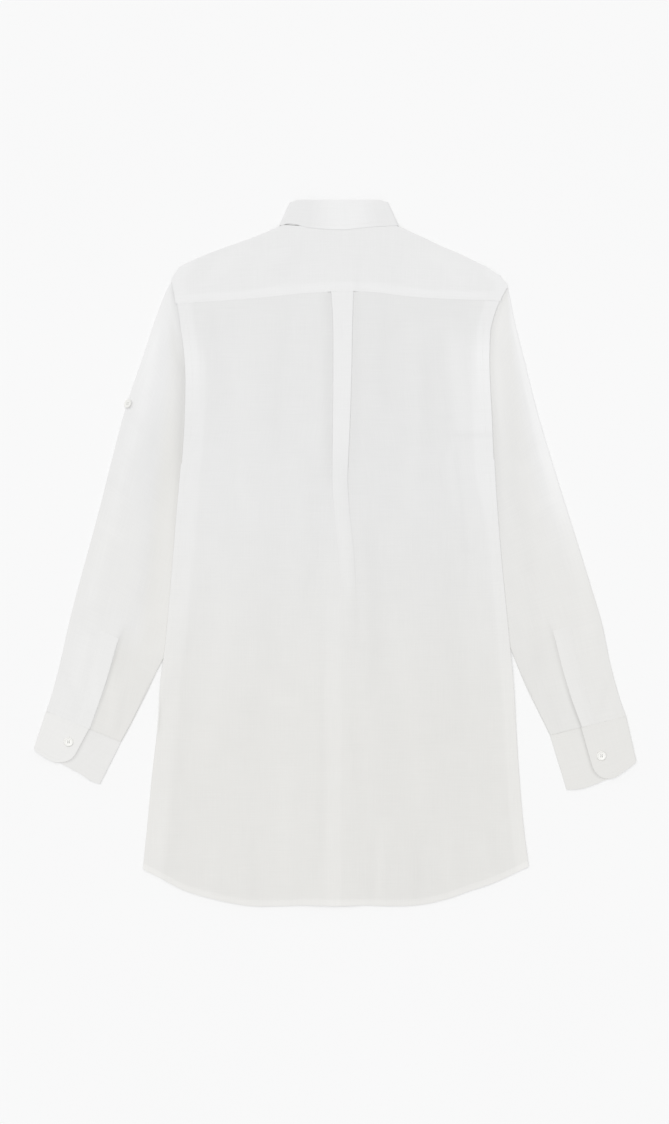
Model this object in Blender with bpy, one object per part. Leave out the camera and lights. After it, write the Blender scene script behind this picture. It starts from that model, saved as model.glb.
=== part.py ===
"""A long shirt with sleeves, worn as a shirt dress, laid flat on a surface with its back up.

Sizes are in millimetres until the meshes are made. x runs to the right as seen from above, "down" runs from
the collar's top fold towards the hem, and z is the height above the surface that the shirt lies on.
"""

import math
from collections import namedtuple

import bpy
import numpy as np

for old in list(bpy.data.objects):
    bpy.data.objects.remove(old, do_unlink=True)

# Driving sizes of the whole shirt
LENGTH = 884.4
CLOTH = 1.0
CUFF_CLOTH = 1.2
SEAM_GAP = 0.6
LAYER_GAP = 0.3
MM = 0.001

# Heights of the layers
BUTTON_THICK = 1.8
OVER_BAND_LOW = 2.3
UNDER_BAND_LOW = OVER_BAND_LOW + CLOTH + LAYER_GAP
SLEEVE_THICK = 2.8
SLEEVE_PUFF = 1.7
UNDER_WAVE = 0.35
BODY_LIFT = SLEEVE_THICK + 0.4
LIFT_RAMP = 30.0
LIFT_AHEAD = 14.0
INNER_GAP = 0.6
FILL = 2.3

# The collar is a flattened ring: its leaf and its stand keep to two levels round one middle height
COLLAR_X = 4.5
COLLAR_MID = 3.85
LEAF_LEVEL = 3.35
STAND_LEVEL_BACK = 2.05
STAND_LEVEL_FRONT = 1.05
COLLAR_TOP_HALF = 61.0
COLLAR_EDGE_HALF = 74.5
NECK_HALF = 74.0
NECK_DEPTH = 59.0
NECK_DOWN = 31.0
STAND_HALF = 70.0
COLLAR_POINT = (58.0, 118.0)
COLLAR_FRONT_DOWN = 62.0

BAND_HALF = 16.0
YOKE_FRONT_DEPTH = 28.0
SIDE_TURN_UNDER = 26.0
UNDERARM_DOWN = 330.0
FRONT_HEM_SHORTER = 4.0
CUFF_CORNER = 15.0
CUFF_LAP_TO = 0.36

# Half widths of the body, left and right of the middle line, down its length
Side = namedtuple("Side", "down left right")
SIDES = (
    Side(86, 199, 217),
    Side(105, 197.3, 213),
    Side(130, 193.7, 202.6),
    Side(160, 189.4, 195),
    Side(185, 188, 194),
    Side(270, 189.2, 197),
    Side(340, 190.8, 200),
    Side(375, 196, 202.5),
    Side(450, 199.5, 208.6),
    Side(500, 205.5, 213.5),
    Side(550, 211, 218.4),
    Side(590, 217.5, 222.1),
    Side(650, 222, 225.9),
    Side(710, 228.6, 229.6),
    Side(785, 235.4, 235.9),
    Side(836, 240.4, 242.1),
)

# The hem's curve, the back seam of the yoke and the shoulder lines, as x and how far down
Line = namedtuple("Line", "x down")
HEM = (
    Line(-240.4, 836), Line(-213, 856), Line(-188, 866), Line(-150, 877), Line(-106, 882.6), Line(-44, 884.2),
    Line(0, 884.0), Line(50, 881.2), Line(81, 883.2), Line(118, 881), Line(156, 873.5), Line(187, 861),
    Line(218, 846), Line(242.1, 832.3),
)
YOKE_SEAM = (
    Line(-195, 129), Line(-106, 122.5), Line(-25, 115), Line(40, 114), Line(93, 120), Line(203, 125.5),
)
SHOULDER_LEFT = (
    Line(69.5, 32.6), Line(74, 34.6), Line(81.6, 38.0), Line(104, 47.3), Line(133, 57.3), Line(159, 67.3),
    Line(181.6, 77.3), Line(194, 83.8), Line(199, 89),
)
SHOULDER_RIGHT = (
    Line(78.5, 32.6), Line(83, 34.6), Line(89.6, 37.8), Line(111, 47.3), Line(132, 57.3), Line(156, 67.3),
    Line(176, 77.3), Line(194.6, 87.3), Line(208.4, 97.3), Line(214.6, 103.5),
)
LEAF_EDGE = (
    Line(-1.0, 31.6), Line(-0.75, 30.6), Line(-0.45, 35.2), Line(-0.1, 36.8), Line(0.1, 37.2), Line(0.3, 35.6),
    Line(0.55, 34.0), Line(1.0, 32.0),
)

# Sleeves: the two long edges of each flattened tube, station by station from armhole to cuff
Station = namedtuple("Station", "outer_x outer_down inner_x inner_down")
SLEEVE_LEFT = (
    Station(-185.4, 84.8, -146.6, 297.3), Station(-206.6, 104.8, -134.1, 318.5),
    Station(-224.1, 147.3, -126.6, 343.5), Station(-241.6, 199.8, -124.1, 372.3),
    Station(-260.4, 254.8, -129.1, 402.3), Station(-277.9, 319.8, -141.6, 434.8),
    Station(-292.9, 379.8, -159.1, 472.3), Station(-306.6, 431.0, -179.1, 509.8),
    Station(-320.4, 481.0, -199.1, 547.3), Station(-332.9, 529.8, -218.5, 579.8),
    Station(-344.1, 579.8, -236.6, 617.3), Station(-354.1, 617.3, -255.4, 654.8),
    Station(-362.3, 638.5, -269.1, 676.0),
)
SLEEVE_RIGHT = (
    Station(205.9, 93.5, 145.9, 289.8), Station(215.9, 112.3, 137.1, 306.0),
    Station(223.5, 149.8, 130.9, 322.3), Station(235.9, 199.8, 132.1, 344.8),
    Station(250.9, 259.8, 138.4, 372.3), Station(268.5, 319.8, 148.4, 402.3),
    Station(287.1, 379.8, 164.6, 439.8), Station(303.4, 431.0, 183.4, 481.0),
    Station(319.6, 483.5, 202.1, 522.3), Station(333.4, 529.8, 219.6, 562.3),
    Station(343.8, 579.8, 237.1, 604.8), Station(354.6, 619.8, 252.1, 636.0),
    Station(363.4, 644.8, 270.9, 666.0),
)
CUFF_END_LEFT = Station(-375.8, 685.4, -294.9, 728.5)
CUFF_END_RIGHT = Station(375.9, 701.8, 290.9, 735.5)
FLAP_AT = 0.59
PLACKET_TOP = 8.8
PLACKET_WIDE = 0.2
PLACKET_EDGE = (0.52, 0.58)

# Centre back box pleat: half width of its face, depth folded under it, and how far each fold turns
Pleat = namedtuple("Pleat", "down middle half depth turn")
PLEAT = (
    Pleat(114, 9.0, 13.5, 11.0, 180),
    Pleat(200, 8.2, 12.0, 9.0, 180),
    Pleat(280, 7.2, 10.0, 5.0, 180),
    Pleat(325, 6.6, 9.0, 1.4, 172),
    Pleat(350, 6.0, 8.5, 0.9, 110),
    Pleat(385, 6.5, 8.5, 0.8, 60),
    Pleat(440, 10.0, 9.0, 0.9, 36),
    Pleat(530, 16.0, 10.0, 0.8, 20),
    Pleat(620, 18.0, 11.0, 0.6, 6),
    Pleat(884, 18.0, 11.0, 0.6, 2),
)
PLEAT_FOLD = 0.65
PLEAT_RISE = 4 * PLEAT_FOLD

# Front buttons down the band
FIRST_BUTTON = 136.0
BUTTON_STEP = 84.0
BUTTON_COUNT = 8
COLLAR_BUTTON_DOWN = 77.0


def smooth(t):
    t = np.clip(t, 0.0, 1.0)
    return t * t * (3.0 - 2.0 * t)


def curve(knots, values, at):
    """A smooth curve through the knots, held at its end values beyond them."""
    knots = np.asarray(knots, float)
    values = np.asarray(values, float)
    slopes = np.gradient(values, knots)
    at = np.clip(np.asarray(at, float), knots[0], knots[-1])
    i = np.clip(np.searchsorted(knots, at, side="right") - 1, 0, len(knots) - 2)
    step = knots[i + 1] - knots[i]
    t = (at - knots[i]) / step
    start = values[i] * (1 + 2 * t) * (1 - t) ** 2 + slopes[i] * step * t * (1 - t) ** 2
    end = values[i + 1] * t * t * (3 - 2 * t) + slopes[i + 1] * step * t * t * (t - 1)
    return start + end


def column(rows, name):
    return np.array([getattr(row, name) for row in rows], float)


def along(rows, at, key="x", name="down"):
    return curve(column(rows, key), column(rows, name), at)


def half_width(side, down):
    return along(SIDES, down, "down", side)


def hem_down(x):
    return along(HEM, x)


def yoke_seam_down(x):
    return along(YOKE_SEAM, x)


def shoulder_down(x):
    """How far down the shoulder line lies, for x on either side of the neck."""
    left = along(SHOULDER_LEFT, -np.asarray(x, float))
    right = along(SHOULDER_RIGHT, x)
    return np.where(np.asarray(x) < COLLAR_X, left, right)


def band_middle(down):
    return COLLAR_X - 7.5 * smooth((np.asarray(down, float) - 90.0) / 500.0)


def sleeve_limit(x, down):
    """How far from the middle line the hidden inner edge of the sleeve lies, at this height."""
    limits = []
    for stations in (SLEEVE_LEFT, SLEEVE_RIGHT):
        downs = [stations[0].outer_down] + [s.inner_down for s in stations]
        widths = [abs(stations[0].outer_x)] + [abs(s.inner_x) for s in stations]
        limits.append(np.interp(down, downs, widths))
    return np.where(np.asarray(x) < 0, limits[0], limits[1])


def side_lift(x, down):
    """The body rises here to lie over the sleeve that is tucked beneath it."""
    start = sleeve_limit(x, down) - LIFT_AHEAD - LIFT_RAMP
    return BODY_LIFT * smooth((np.abs(x) - start) / LIFT_RAMP)


def centre_lift(x, down, lift):
    off = np.abs(x - band_middle(down)) - BAND_HALF - 0.5
    return lift * (1 - smooth(off / 28.0))


def neck_lift(x, down):
    """Over the collar leaf's points, and up to the neckline."""
    leaf = np.hypot((x - COLLAR_X) / 96.0, (down - 45.0) / 96.0)
    neck = np.hypot((x - COLLAR_X) / NECK_HALF, (down - NECK_DOWN) / NECK_DEPTH)
    return 1.3 * (1 - smooth((leaf - 1) / 0.35)) + 1.0 * (1 - smooth((neck - 1) / 0.4))


def front_low(x, down, lift=UNDER_BAND_LOW):
    """Height of the lower face of the front panels, the layer next to the surface."""
    lifts = np.maximum(side_lift(x, down), centre_lift(x, down, lift))
    return np.maximum(lifts, neck_lift(x, down))


def back_low(x, down):
    """Height of the lower face of the back, which lies on the fronts with a little air between."""
    on_fronts = front_low(x, down) + CLOTH + INNER_GAP
    edge = np.where(x < 0, half_width("left", down), half_width("right", down)) - np.abs(x)
    room = smooth(edge / 38.0) * smooth((hem_down(x) - down) / 50.0) * smooth((down - shoulder_down(x)) / 34.0)
    return np.maximum(on_fronts, CLOTH + INNER_GAP + FILL * room)


def yoke_low(x, down):
    """The yoke rises to the collar stand at the neck, and over the pleat at its seam."""
    from_neck = np.hypot(np.maximum(np.abs(x - COLLAR_X) - NECK_HALF, 0), np.maximum(down - NECK_DOWN, 0))
    neck = COLLAR_MID + STAND_LEVEL_BACK - CLOTH / 2
    neck = neck - 3.8 * smooth(from_neck / 64.0)
    off = np.abs(x - PLEAT[0].middle) - PLEAT[0].half - 1.0
    over_pleat = PLEAT_RISE * (1 - smooth(off / 7.0)) * (1 - smooth((yoke_seam_down(x) - down) / 40.0))
    return np.maximum(back_low(x, down), neck) + over_pleat


def normals(first, second):
    """Unit normals, to the left of travel, of polylines that run along the last axis."""
    d1 = np.gradient(first, axis=-1)
    d2 = np.gradient(second, axis=-1)
    size = np.maximum(np.hypot(d1, d2), 1e-9)
    return -d2 / size, d1 / size


def slab(name, colour, upper, lower, keep=None, ring=False):
    """One closed wall between two grids of points. Cells where keep is False are left out."""
    rows, columns = upper.shape[:2]
    spans = columns if ring else columns - 1
    if keep is None:
        keep = np.ones((rows - 1, spans), bool)
    count = rows * columns
    faces = []
    edges = {}
    for r in range(rows - 1):
        for c in range(spans):
            if not keep[r, c]:
                continue
            d = (c + 1) % columns
            corners = (r * columns + c, r * columns + d, (r + 1) * columns + d, (r + 1) * columns + c)
            faces.append(corners)
            faces.append(tuple(i + count for i in reversed(corners)))
            for a, b in zip(corners, corners[1:] + corners[:1]):
                if (b, a) in edges:
                    del edges[(b, a)]
                else:
                    edges[(a, b)] = True
    for a, b in edges:
        faces.append((b, a, a + count, b + count))
    points = np.concatenate([upper.reshape(-1, 3), lower.reshape(-1, 3)])
    used = sorted({i for face in faces for i in face})
    number = {i: n for n, i in enumerate(used)}
    faces = [tuple(number[i] for i in face) for face in faces]
    return solid(name, colour, points[used], faces)


def solid(name, colour, points, faces):
    """The named object, with its faces pointing outwards. Points are x, down and z in millimetres."""
    placed = np.stack([points[:, 0], LENGTH / 2 - points[:, 1], points[:, 2]], axis=1)
    volume = 0.0
    for face in faces:
        for a, b in zip(face[1:-1], face[2:]):
            volume += np.dot(placed[face[0]], np.cross(placed[a], placed[b]))
    if volume < 0:
        faces = [tuple(reversed(face)) for face in faces]
    mesh = bpy.data.meshes.new(name)
    mesh.from_pydata((placed * MM).tolist(), [], faces)
    mesh.shade_smooth()
    mesh.set_sharp_from_angle(angle=math.radians(50))
    mesh.materials.append(colour)
    item = bpy.data.objects.new(name, mesh)
    bpy.context.scene.collection.objects.link(item)
    return item


def finish(name, colour, roughness):
    material = bpy.data.materials.new(name)
    material.use_nodes = True
    shader = material.node_tree.nodes["Principled BSDF"]
    shader.inputs["Base Color"].default_value = (*colour, 1.0)
    shader.inputs["Roughness"].default_value = roughness
    shader.inputs["Metallic"].default_value = 0.0
    return material


LINEN = finish("white linen", (0.84, 0.84, 0.82), 0.85)
DOUBLE_LINEN = finish("doubled white linen", (0.88, 0.88, 0.86), 0.85)
SHELL = finish("pearl button", (0.86, 0.85, 0.82), 0.3)


def grid_of(x, down, z):
    return np.stack(np.broadcast_arrays(x, down, z), axis=-1)


def pleat_path(down):
    """Mid line of the raised pleat in one section: distances from its middle and heights, left end first."""
    half = curve(column(PLEAT, "down"), column(PLEAT, "half"), down)
    depth = curve(column(PLEAT, "down"), column(PLEAT, "depth"), down)
    turn = math.radians(curve(column(PLEAT, "down"), column(PLEAT, "turn"), down))
    path = [(0.0, 0.0)]
    for angle in (turn / 3, 2 * turn / 3, turn):
        path.append((PLEAT_FOLD * math.sin(angle), PLEAT_FOLD * (1 - math.cos(angle))))
    x, z = path[-1]
    x += depth * math.cos(turn)
    z += depth * math.sin(turn)
    path.append((x, z))
    for angle in (turn / 3, 2 * turn / 3, turn):
        path.append((
            x + PLEAT_FOLD * (math.sin(turn) - math.sin(turn - angle)),
            z + PLEAT_FOLD * (math.cos(turn - angle) - math.cos(turn)),
        ))
    end_x, rise = path[-1]
    left = [(px - end_x - half + PLEAT_FOLD, pz) for px, pz in path]
    right = [(-px, pz) for px, pz in reversed(left)]
    return np.array(left + [(0.0, rise)] + right)


def fold(x, low, high, side, steps=4):
    """Points round a half turn from the lower mid height to the upper one, at the edge x."""
    radius = (high - low) / 2
    middle = (high + low) / 2
    centre = x - side * (radius + CLOTH / 2)
    angles = np.linspace(-90, 90, steps + 1)[1:-1]
    return [
        (centre + side * radius * math.cos(math.radians(a)), middle + radius * math.sin(math.radians(a)))
        for a in angles
    ], centre


def make_back():
    """The back panel: turned under at both sides to the side seams, with the box pleat at its middle."""
    parts = np.concatenate([
        np.linspace(0, 0.26, 7), np.linspace(0.3, 0.42, 4), np.linspace(0.49, 0.93, 7), [0.965, 0.985, 1.0]
    ])
    upper = []
    lower = []
    under = []
    for part in parts:
        sections = {}
        for side, name in ((-1, "left"), (1, "right")):
            top = yoke_seam_down(side * 190.0)
            bottom = HEM[0].down if side < 0 else HEM[-1].down
            edge_down = top + SEAM_GAP + part * (bottom - top - SEAM_GAP)
            edge = float(half_width(name, edge_down))
            sections[side] = (edge, edge_down)
        middle_down = 114 + part * (LENGTH - 114)
        middle = float(curve(column(PLEAT, "down"), column(PLEAT, "middle"), middle_down))
        ridge = pleat_path(middle_down)
        path = []
        for side in (-1, 1):
            edge, edge_down = sections[side]
            x = side * edge
            low = float(front_low(x - side * 1.3, edge_down)) + CLOTH / 2
            high = float(back_low(x - side * 1.3, edge_down)) + CLOTH / 2
            turn, centre = fold(x, low, high, side)
            inner = x - side * SIDE_TURN_UNDER
            strip = [(inner + (centre - inner) * t, None, "under") for t in (0.0, 0.5, 1.0)]
            start = middle + side * (abs(ridge[0][0]))
            top = [(centre + (start - centre) * t, None, "top") for t in np.linspace(0, 1, 11)]
            run = strip + [(px, pz, "turn") for px, pz in turn] + top[:-1]
            path.append(run if side < 0 else list(reversed(run)))
        raised = [(middle + px, pz, "pleat") for px, pz in ridge]
        whole = path[0] + raised + path[1]
        x = np.array([p[0] for p in whole])
        top_down = yoke_seam_down(x) + SEAM_GAP
        down = top_down + part * (hem_down(x) - top_down)
        z = np.empty(len(whole))
        for i, (px, pz, kind) in enumerate(whole):
            if kind == "turn":
                z[i] = pz
            elif kind == "under":
                z[i] = front_low(px, down[i]) + CLOTH / 2
            else:
                z[i] = back_low(px, down[i]) + CLOTH / 2 + (pz if kind == "pleat" else 0.0)
        nx, nz = normals(x, z)
        upper.append(grid_of(x + nx * CLOTH / 2, down, z + nz * CLOTH / 2))
        lower.append(grid_of(x - nx * CLOTH / 2, down, z - nz * CLOTH / 2))
        under.append([kind in ("under", "turn") for _, _, kind in whole])
    upper = np.array(upper)
    lower = np.array(lower)
    under = np.array(under)
    keep = np.ones((len(parts) - 1, upper.shape[1] - 1), bool)
    for r in range(len(parts) - 1):
        if upper[r, 0, 1] < UNDERARM_DOWN:
            keep[r] = ~(under[r, :-1] | under[r, 1:])
    slab("back", LINEN, upper, lower, keep)
    first_under = int(np.argmax(upper[:, 0, 1] >= UNDERARM_DOWN))
    return parts, first_under


def neckline_down(x):
    inside = np.clip(1 - ((x - COLLAR_X) / NECK_HALF) ** 2, 0, 1)
    return NECK_DOWN + NECK_DEPTH * np.sqrt(inside)


def make_front(side, parts, first_under):
    """One front panel, from its band to the side seam, with its neckline, shoulder and armhole."""
    name = "left" if side < 0 else "right"
    lift = UNDER_BAND_LOW if side < 0 else OVER_BAND_LOW
    across = np.concatenate([np.linspace(0, 0.28, 4), np.linspace(0.4, 1, 6)])
    x = []
    down = []
    for r, part in enumerate(parts):
        top_edge = float(shoulder_down(side * 192.0)) + YOKE_FRONT_DEPTH
        bottom = HEM[0].down if side < 0 else HEM[-1].down
        back_top = float(yoke_seam_down(side * 190.0)) + SEAM_GAP
        edge_down = back_top + part * (bottom - back_top)
        if r == 0:
            edge_down = top_edge
        edge = float(half_width(name, edge_down))
        edge -= SIDE_TURN_UNDER + LAYER_GAP + 0.2 if r >= first_under else 3.0
        for_middle = edge_down if r else NECK_DOWN + NECK_DEPTH
        middle = float(band_middle(for_middle)) + side * (BAND_HALF + LAYER_GAP + 0.1)
        row_x = middle + across * (side * edge - middle)
        neck = neckline_down(row_x) + 0.3
        shoulder = shoulder_down(row_x) + YOKE_FRONT_DEPTH + 1.2
        top = np.maximum(shoulder, neck)
        hem = hem_down(row_x) - FRONT_HEM_SHORTER
        row_down = top
        if r > 0:
            start = np.maximum(top + 6.0, back_top)
            row_down = start + part * (hem - start)
        x.append(row_x)
        down.append(row_down)
    x = np.array(x)
    down = np.array(down)
    low = front_low(x, down, lift)
    slab(f"front_{name}", LINEN, grid_of(x, down, low + CLOTH), grid_of(x, down, low))


def make_bands():
    """Two straight bands, the over band next to the surface and the under band above it."""
    downs = np.linspace(0, 1, 13)
    for name, low in (("front_band_over", OVER_BAND_LOW), ("front_band_under", UNDER_BAND_LOW)):
        start = NECK_DOWN + NECK_DEPTH + 0.6
        x = []
        down = []
        for part in downs:
            row_down = start + part * (879.0 - start)
            middle = float(band_middle(row_down))
            x.append(middle + np.array([-BAND_HALF, 0.0, BAND_HALF]))
            down.append(np.full(3, row_down))
        x = np.array(x)
        down = np.array(down)
        slab(name, DOUBLE_LINEN, grid_of(x, down, low + CLOTH), grid_of(x, down, low))


def make_yoke():
    """The yoke: over the back to the neck, turned over each shoulder line to a short front strip."""
    neck_columns = np.linspace(-1, 1, 11) * (NECK_HALF + SEAM_GAP) + COLLAR_X
    left_x = -np.array([195.0, 186, 170, 150, 128, 108, 92, 82, 76])
    right_x = np.array([84.5, 91, 101, 117, 137, 159, 179, 194, 204])
    columns = np.concatenate([left_x, neck_columns, right_x])
    neck_from = len(left_x)
    neck_to = len(left_x) + len(neck_columns) - 1
    outside = np.ones(len(columns), bool)
    outside[neck_from + 1:neck_to] = False
    back_rows = np.array([0.0, 0.25, 0.5, 0.75, 1.0])
    strip_rows = np.array([0.0, 0.35, 0.7, 1.0])
    turn_steps = 4
    mid_x = []
    mid_down = []
    mid_z = []
    for i, x in enumerate(columns):
        seam = float(yoke_seam_down(x))
        line = float(shoulder_down(x)) if outside[i] else 0.0
        if outside[i]:
            low = float(front_low(x, line + 2.0)) + CLOTH / 2
            high = float(yoke_low(x, line + 2.0)) + CLOTH / 2
            radius = (high - low) / 2
            top = line + radius + CLOTH / 2
        else:
            top = NECK_DOWN + 2.4 * (1 - ((x - COLLAR_X) / NECK_HALF) ** 2)
            radius = 0.8
            low = high = float(yoke_low(x, top)) + CLOTH / 2
        xs = []
        downs = []
        zs = []
        for part in back_rows:
            down = seam + (top - seam) * part
            xs.append(x)
            downs.append(down)
            zs.append(float(yoke_low(x, down)) + CLOTH / 2)
        zs[-1] = high if outside[i] else zs[-1]
        for angle in np.linspace(90, -90, turn_steps + 1)[1:-1]:
            xs.append(x)
            downs.append(top - radius * math.cos(math.radians(angle)))
            zs.append((low + high) / 2 + radius * math.sin(math.radians(angle)))
        for part in strip_rows:
            down = top + (line + YOKE_FRONT_DEPTH - top) * part
            strip_x = x
            if i in (neck_from, neck_to):
                reach = math.sqrt(1 - (max(down - NECK_DOWN, 0.0) / NECK_DEPTH) ** 2)
                strip_x = COLLAR_X + np.sign(x - COLLAR_X) * (NECK_HALF * reach + SEAM_GAP)
            xs.append(strip_x)
            downs.append(down)
            zs.append(float(front_low(strip_x, down)) + CLOTH / 2)
        mid_x.append(xs)
        mid_down.append(downs)
        mid_z.append(zs)
    mid_x = np.array(mid_x)
    mid_down = np.array(mid_down)
    mid_z = np.array(mid_z)
    n_down, n_z = normals(mid_down, mid_z)
    upper = grid_of(mid_x, mid_down + n_down * CLOTH / 2, mid_z + n_z * CLOTH / 2)
    lower = grid_of(mid_x, mid_down - n_down * CLOTH / 2, mid_z - n_z * CLOTH / 2)
    keep = np.ones((len(columns) - 1, upper.shape[1] - 1), bool)
    for i in range(len(columns) - 1):
        if not (outside[i] and outside[i + 1]) or i == neck_from:
            keep[i, len(back_rows) - 1:] = False
    slab("yoke", DOUBLE_LINEN, upper, lower, keep)


CollarStation = namedtuple("CollarStation", "fold_x fold_down edge_x edge_down angle back front_part")


def collar_stations(part_name):
    """Stations round the flattened collar, from its left front end round the back to its right front end."""
    edge_half = COLLAR_EDGE_HALF if part_name == "leaf" else STAND_HALF + LEAF_LEVEL + CLOTH / 2
    turn_size = LEAF_LEVEL + CLOTH / 2
    fold_centre = COLLAR_TOP_HALF - turn_size
    edge_centre = edge_half - turn_size
    side_edge = 31.0 if part_name == "leaf" else 29.0
    last = 0.83 if part_name == "leaf" else 1.0
    half = []
    for c in np.linspace(0, 1, 8):
        rise = 2.5 * smooth((c - 0.9) / 0.1)
        half.append((c * fold_centre, rise, c * edge_centre, None, 90.0, c, 0.0))
    for angle in np.linspace(90, -90, 6)[1:-1]:
        half.append((fold_centre, 2.5, edge_centre, side_edge + 0.6, angle, 1.0, 0.0))
    for f in np.linspace(0, 1, 9):
        turn = math.radians(100 * f * last)
        fold_x = fold_centre * math.cos(turn)
        fold_down = 2.5 + (COLLAR_FRONT_DOWN - 2.5) * math.sin(math.radians(90 * f * last))
        if part_name == "leaf":
            edge_x = edge_centre + (COLLAR_POINT[0] - edge_centre) * f
            edge_down = side_edge + 1 + (COLLAR_POINT[1] - side_edge - 1) * f
        elif f <= 0.2:
            edge_x = edge_centre
            edge_down = 29.6 + 18.0 * f / 0.2
        else:
            turn = math.radians(17 + 83 * (f - 0.2) / 0.8)
            edge_x = (NECK_HALF - 0.7) * math.cos(turn)
            edge_down = NECK_DOWN + (NECK_DEPTH - 0.7) * math.sin(turn)
        half.append((fold_x, fold_down, edge_x, edge_down, -90.0, 1.0, f))
    stations = []
    for side in (-1, 1):
        run = []
        for fold_x, fold_down, edge_x, edge_down, angle, c, f in half:
            if edge_down is None:
                if part_name == "leaf":
                    edge_down = float(along(LEAF_EDGE, side * c))
                else:
                    edge_down = NECK_DOWN - SEAM_GAP + 2.4 * (1 - c * c) * 0.9 - 1.0 * smooth((c - 0.8) / 0.2)
            run.append(CollarStation(side * fold_x, fold_down, side * edge_x, edge_down, angle, side, f))
        stations.extend(reversed(run) if side < 0 else run[1:])
    return stations


def collar_wall(name, stations, profiles, keep_return):
    """A wall whose section at each station is a mid line of (distance from the fold, level) pairs."""
    upper = []
    lower = []
    for station, profile in zip(stations, profiles):
        dx = station.edge_x - station.fold_x
        dd = station.edge_down - station.fold_down
        size = math.hypot(dx, dd)
        distance = np.array([p[0] for p in profile])
        level = np.array([p[1] for p in profile])
        nd, nl = normals(distance, level)
        angle = math.radians(station.angle)
        for rows, sign in ((upper, 1.0), (lower, -1.0)):
            d = distance + sign * nd * CLOTH / 2
            out = level + sign * nl * CLOTH / 2
            x = COLLAR_X + station.fold_x + dx / size * d + station.back * out * math.cos(angle)
            down = station.fold_down + dd / size * d
            rows.append(grid_of(x, down, COLLAR_MID + out * math.sin(angle)))
    upper = np.array(upper)
    lower = np.array(lower)
    slab(name, DOUBLE_LINEN, upper, lower, keep_return)


def stand_level(station):
    """The stand's level round the collar's middle height: lower in front, and its left end laps over the right."""
    if station.angle > -90:
        share = smooth((90 - station.angle) / 180)
        return STAND_LEVEL_BACK + (STAND_LEVEL_FRONT - STAND_LEVEL_BACK) * float(share)
    level = STAND_LEVEL_FRONT
    if station.back < 0:
        off = abs(station.edge_x) - BAND_HALF
        level -= (CLOTH + LAYER_GAP) * float(1 - smooth(off / 14.0))
    return level


def make_collar():
    """The leaf rolls over at the collar's top onto the stand, which stands in the neck."""
    stations = collar_stations("leaf")
    profiles = []
    keep = []
    for station in stations:
        width = math.hypot(station.edge_x - station.fold_x, station.edge_down - station.fold_down)
        inner = stand_level(station)
        radius = (LEAF_LEVEL - inner) / 2
        start = radius + CLOTH / 2
        profile = [(6.0, inner), (start + 0.6, inner)]
        for angle in (-90, -45, 0, 45, 90):
            profile.append((
                start - radius * math.cos(math.radians(angle)),
                inner + radius + radius * math.sin(math.radians(angle)),
            ))
        for share in (0.35, 0.7, 1.0):
            profile.append((start + (width - start) * share, LEAF_LEVEL))
        profiles.append(profile)
    for a, b in zip(stations, stations[1:]):
        whole = max(a.front_part, b.front_part) < 0.3
        keep.append([whole] * 6 + [True] * 3)
    collar_wall("collar_leaf", stations, profiles, np.array(keep))
    stations = collar_stations("stand")
    profiles = []
    for station in stations:
        width = math.hypot(station.edge_x - station.fold_x, station.edge_down - station.fold_down)
        level = stand_level(station)
        profiles.append([(6.5 + (width - 6.5) * share, level) for share in (0.0, 0.5, 1.0)])
    collar_wall("collar_stand", stations, profiles, None)


def station_lines(stations, places):
    index = np.arange(len(stations))
    lines = []
    for place in places:
        lines.append([float(curve(index, column(stations, name), place)) for name in Station._fields])
    return np.array(lines)


def sleeve_places():
    return np.concatenate([np.arange(0, 8.1, 0.5), [PLACKET_TOP, 9.4, 10.0, 10.6, 11.2, 11.6, 12.0]])


def sleeve_puff(x, down, from_outer):
    side = np.where(x < 0, half_width("left", down), half_width("right", down))
    outside = np.abs(x) - side
    return SLEEVE_PUFF * smooth((outside - 2.0) / 28.0) * smooth(from_outer / 26.0)


def sleeve_top(line, share):
    """Points on the top face of the sleeve, at these shares of the way from its outer to its inner edge."""
    outer = line[:2]
    inner = line[2:]
    width = np.hypot(*(inner - outer))
    radius = (SLEEVE_THICK - CLOTH) / 2
    start = radius + CLOTH / 2
    nodes = np.linspace(start, width - start, 9)
    at = np.clip(np.asarray(share) * width, start, width - start)
    way = (inner - outer) / width
    x = outer[0] + way[0] * nodes
    down = outer[1] + way[1] * nodes
    z = SLEEVE_THICK + sleeve_puff(x, down, nodes - start)
    return outer[0] + way[0] * at, outer[1] + way[1] * at, np.interp(at, nodes, z)


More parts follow.
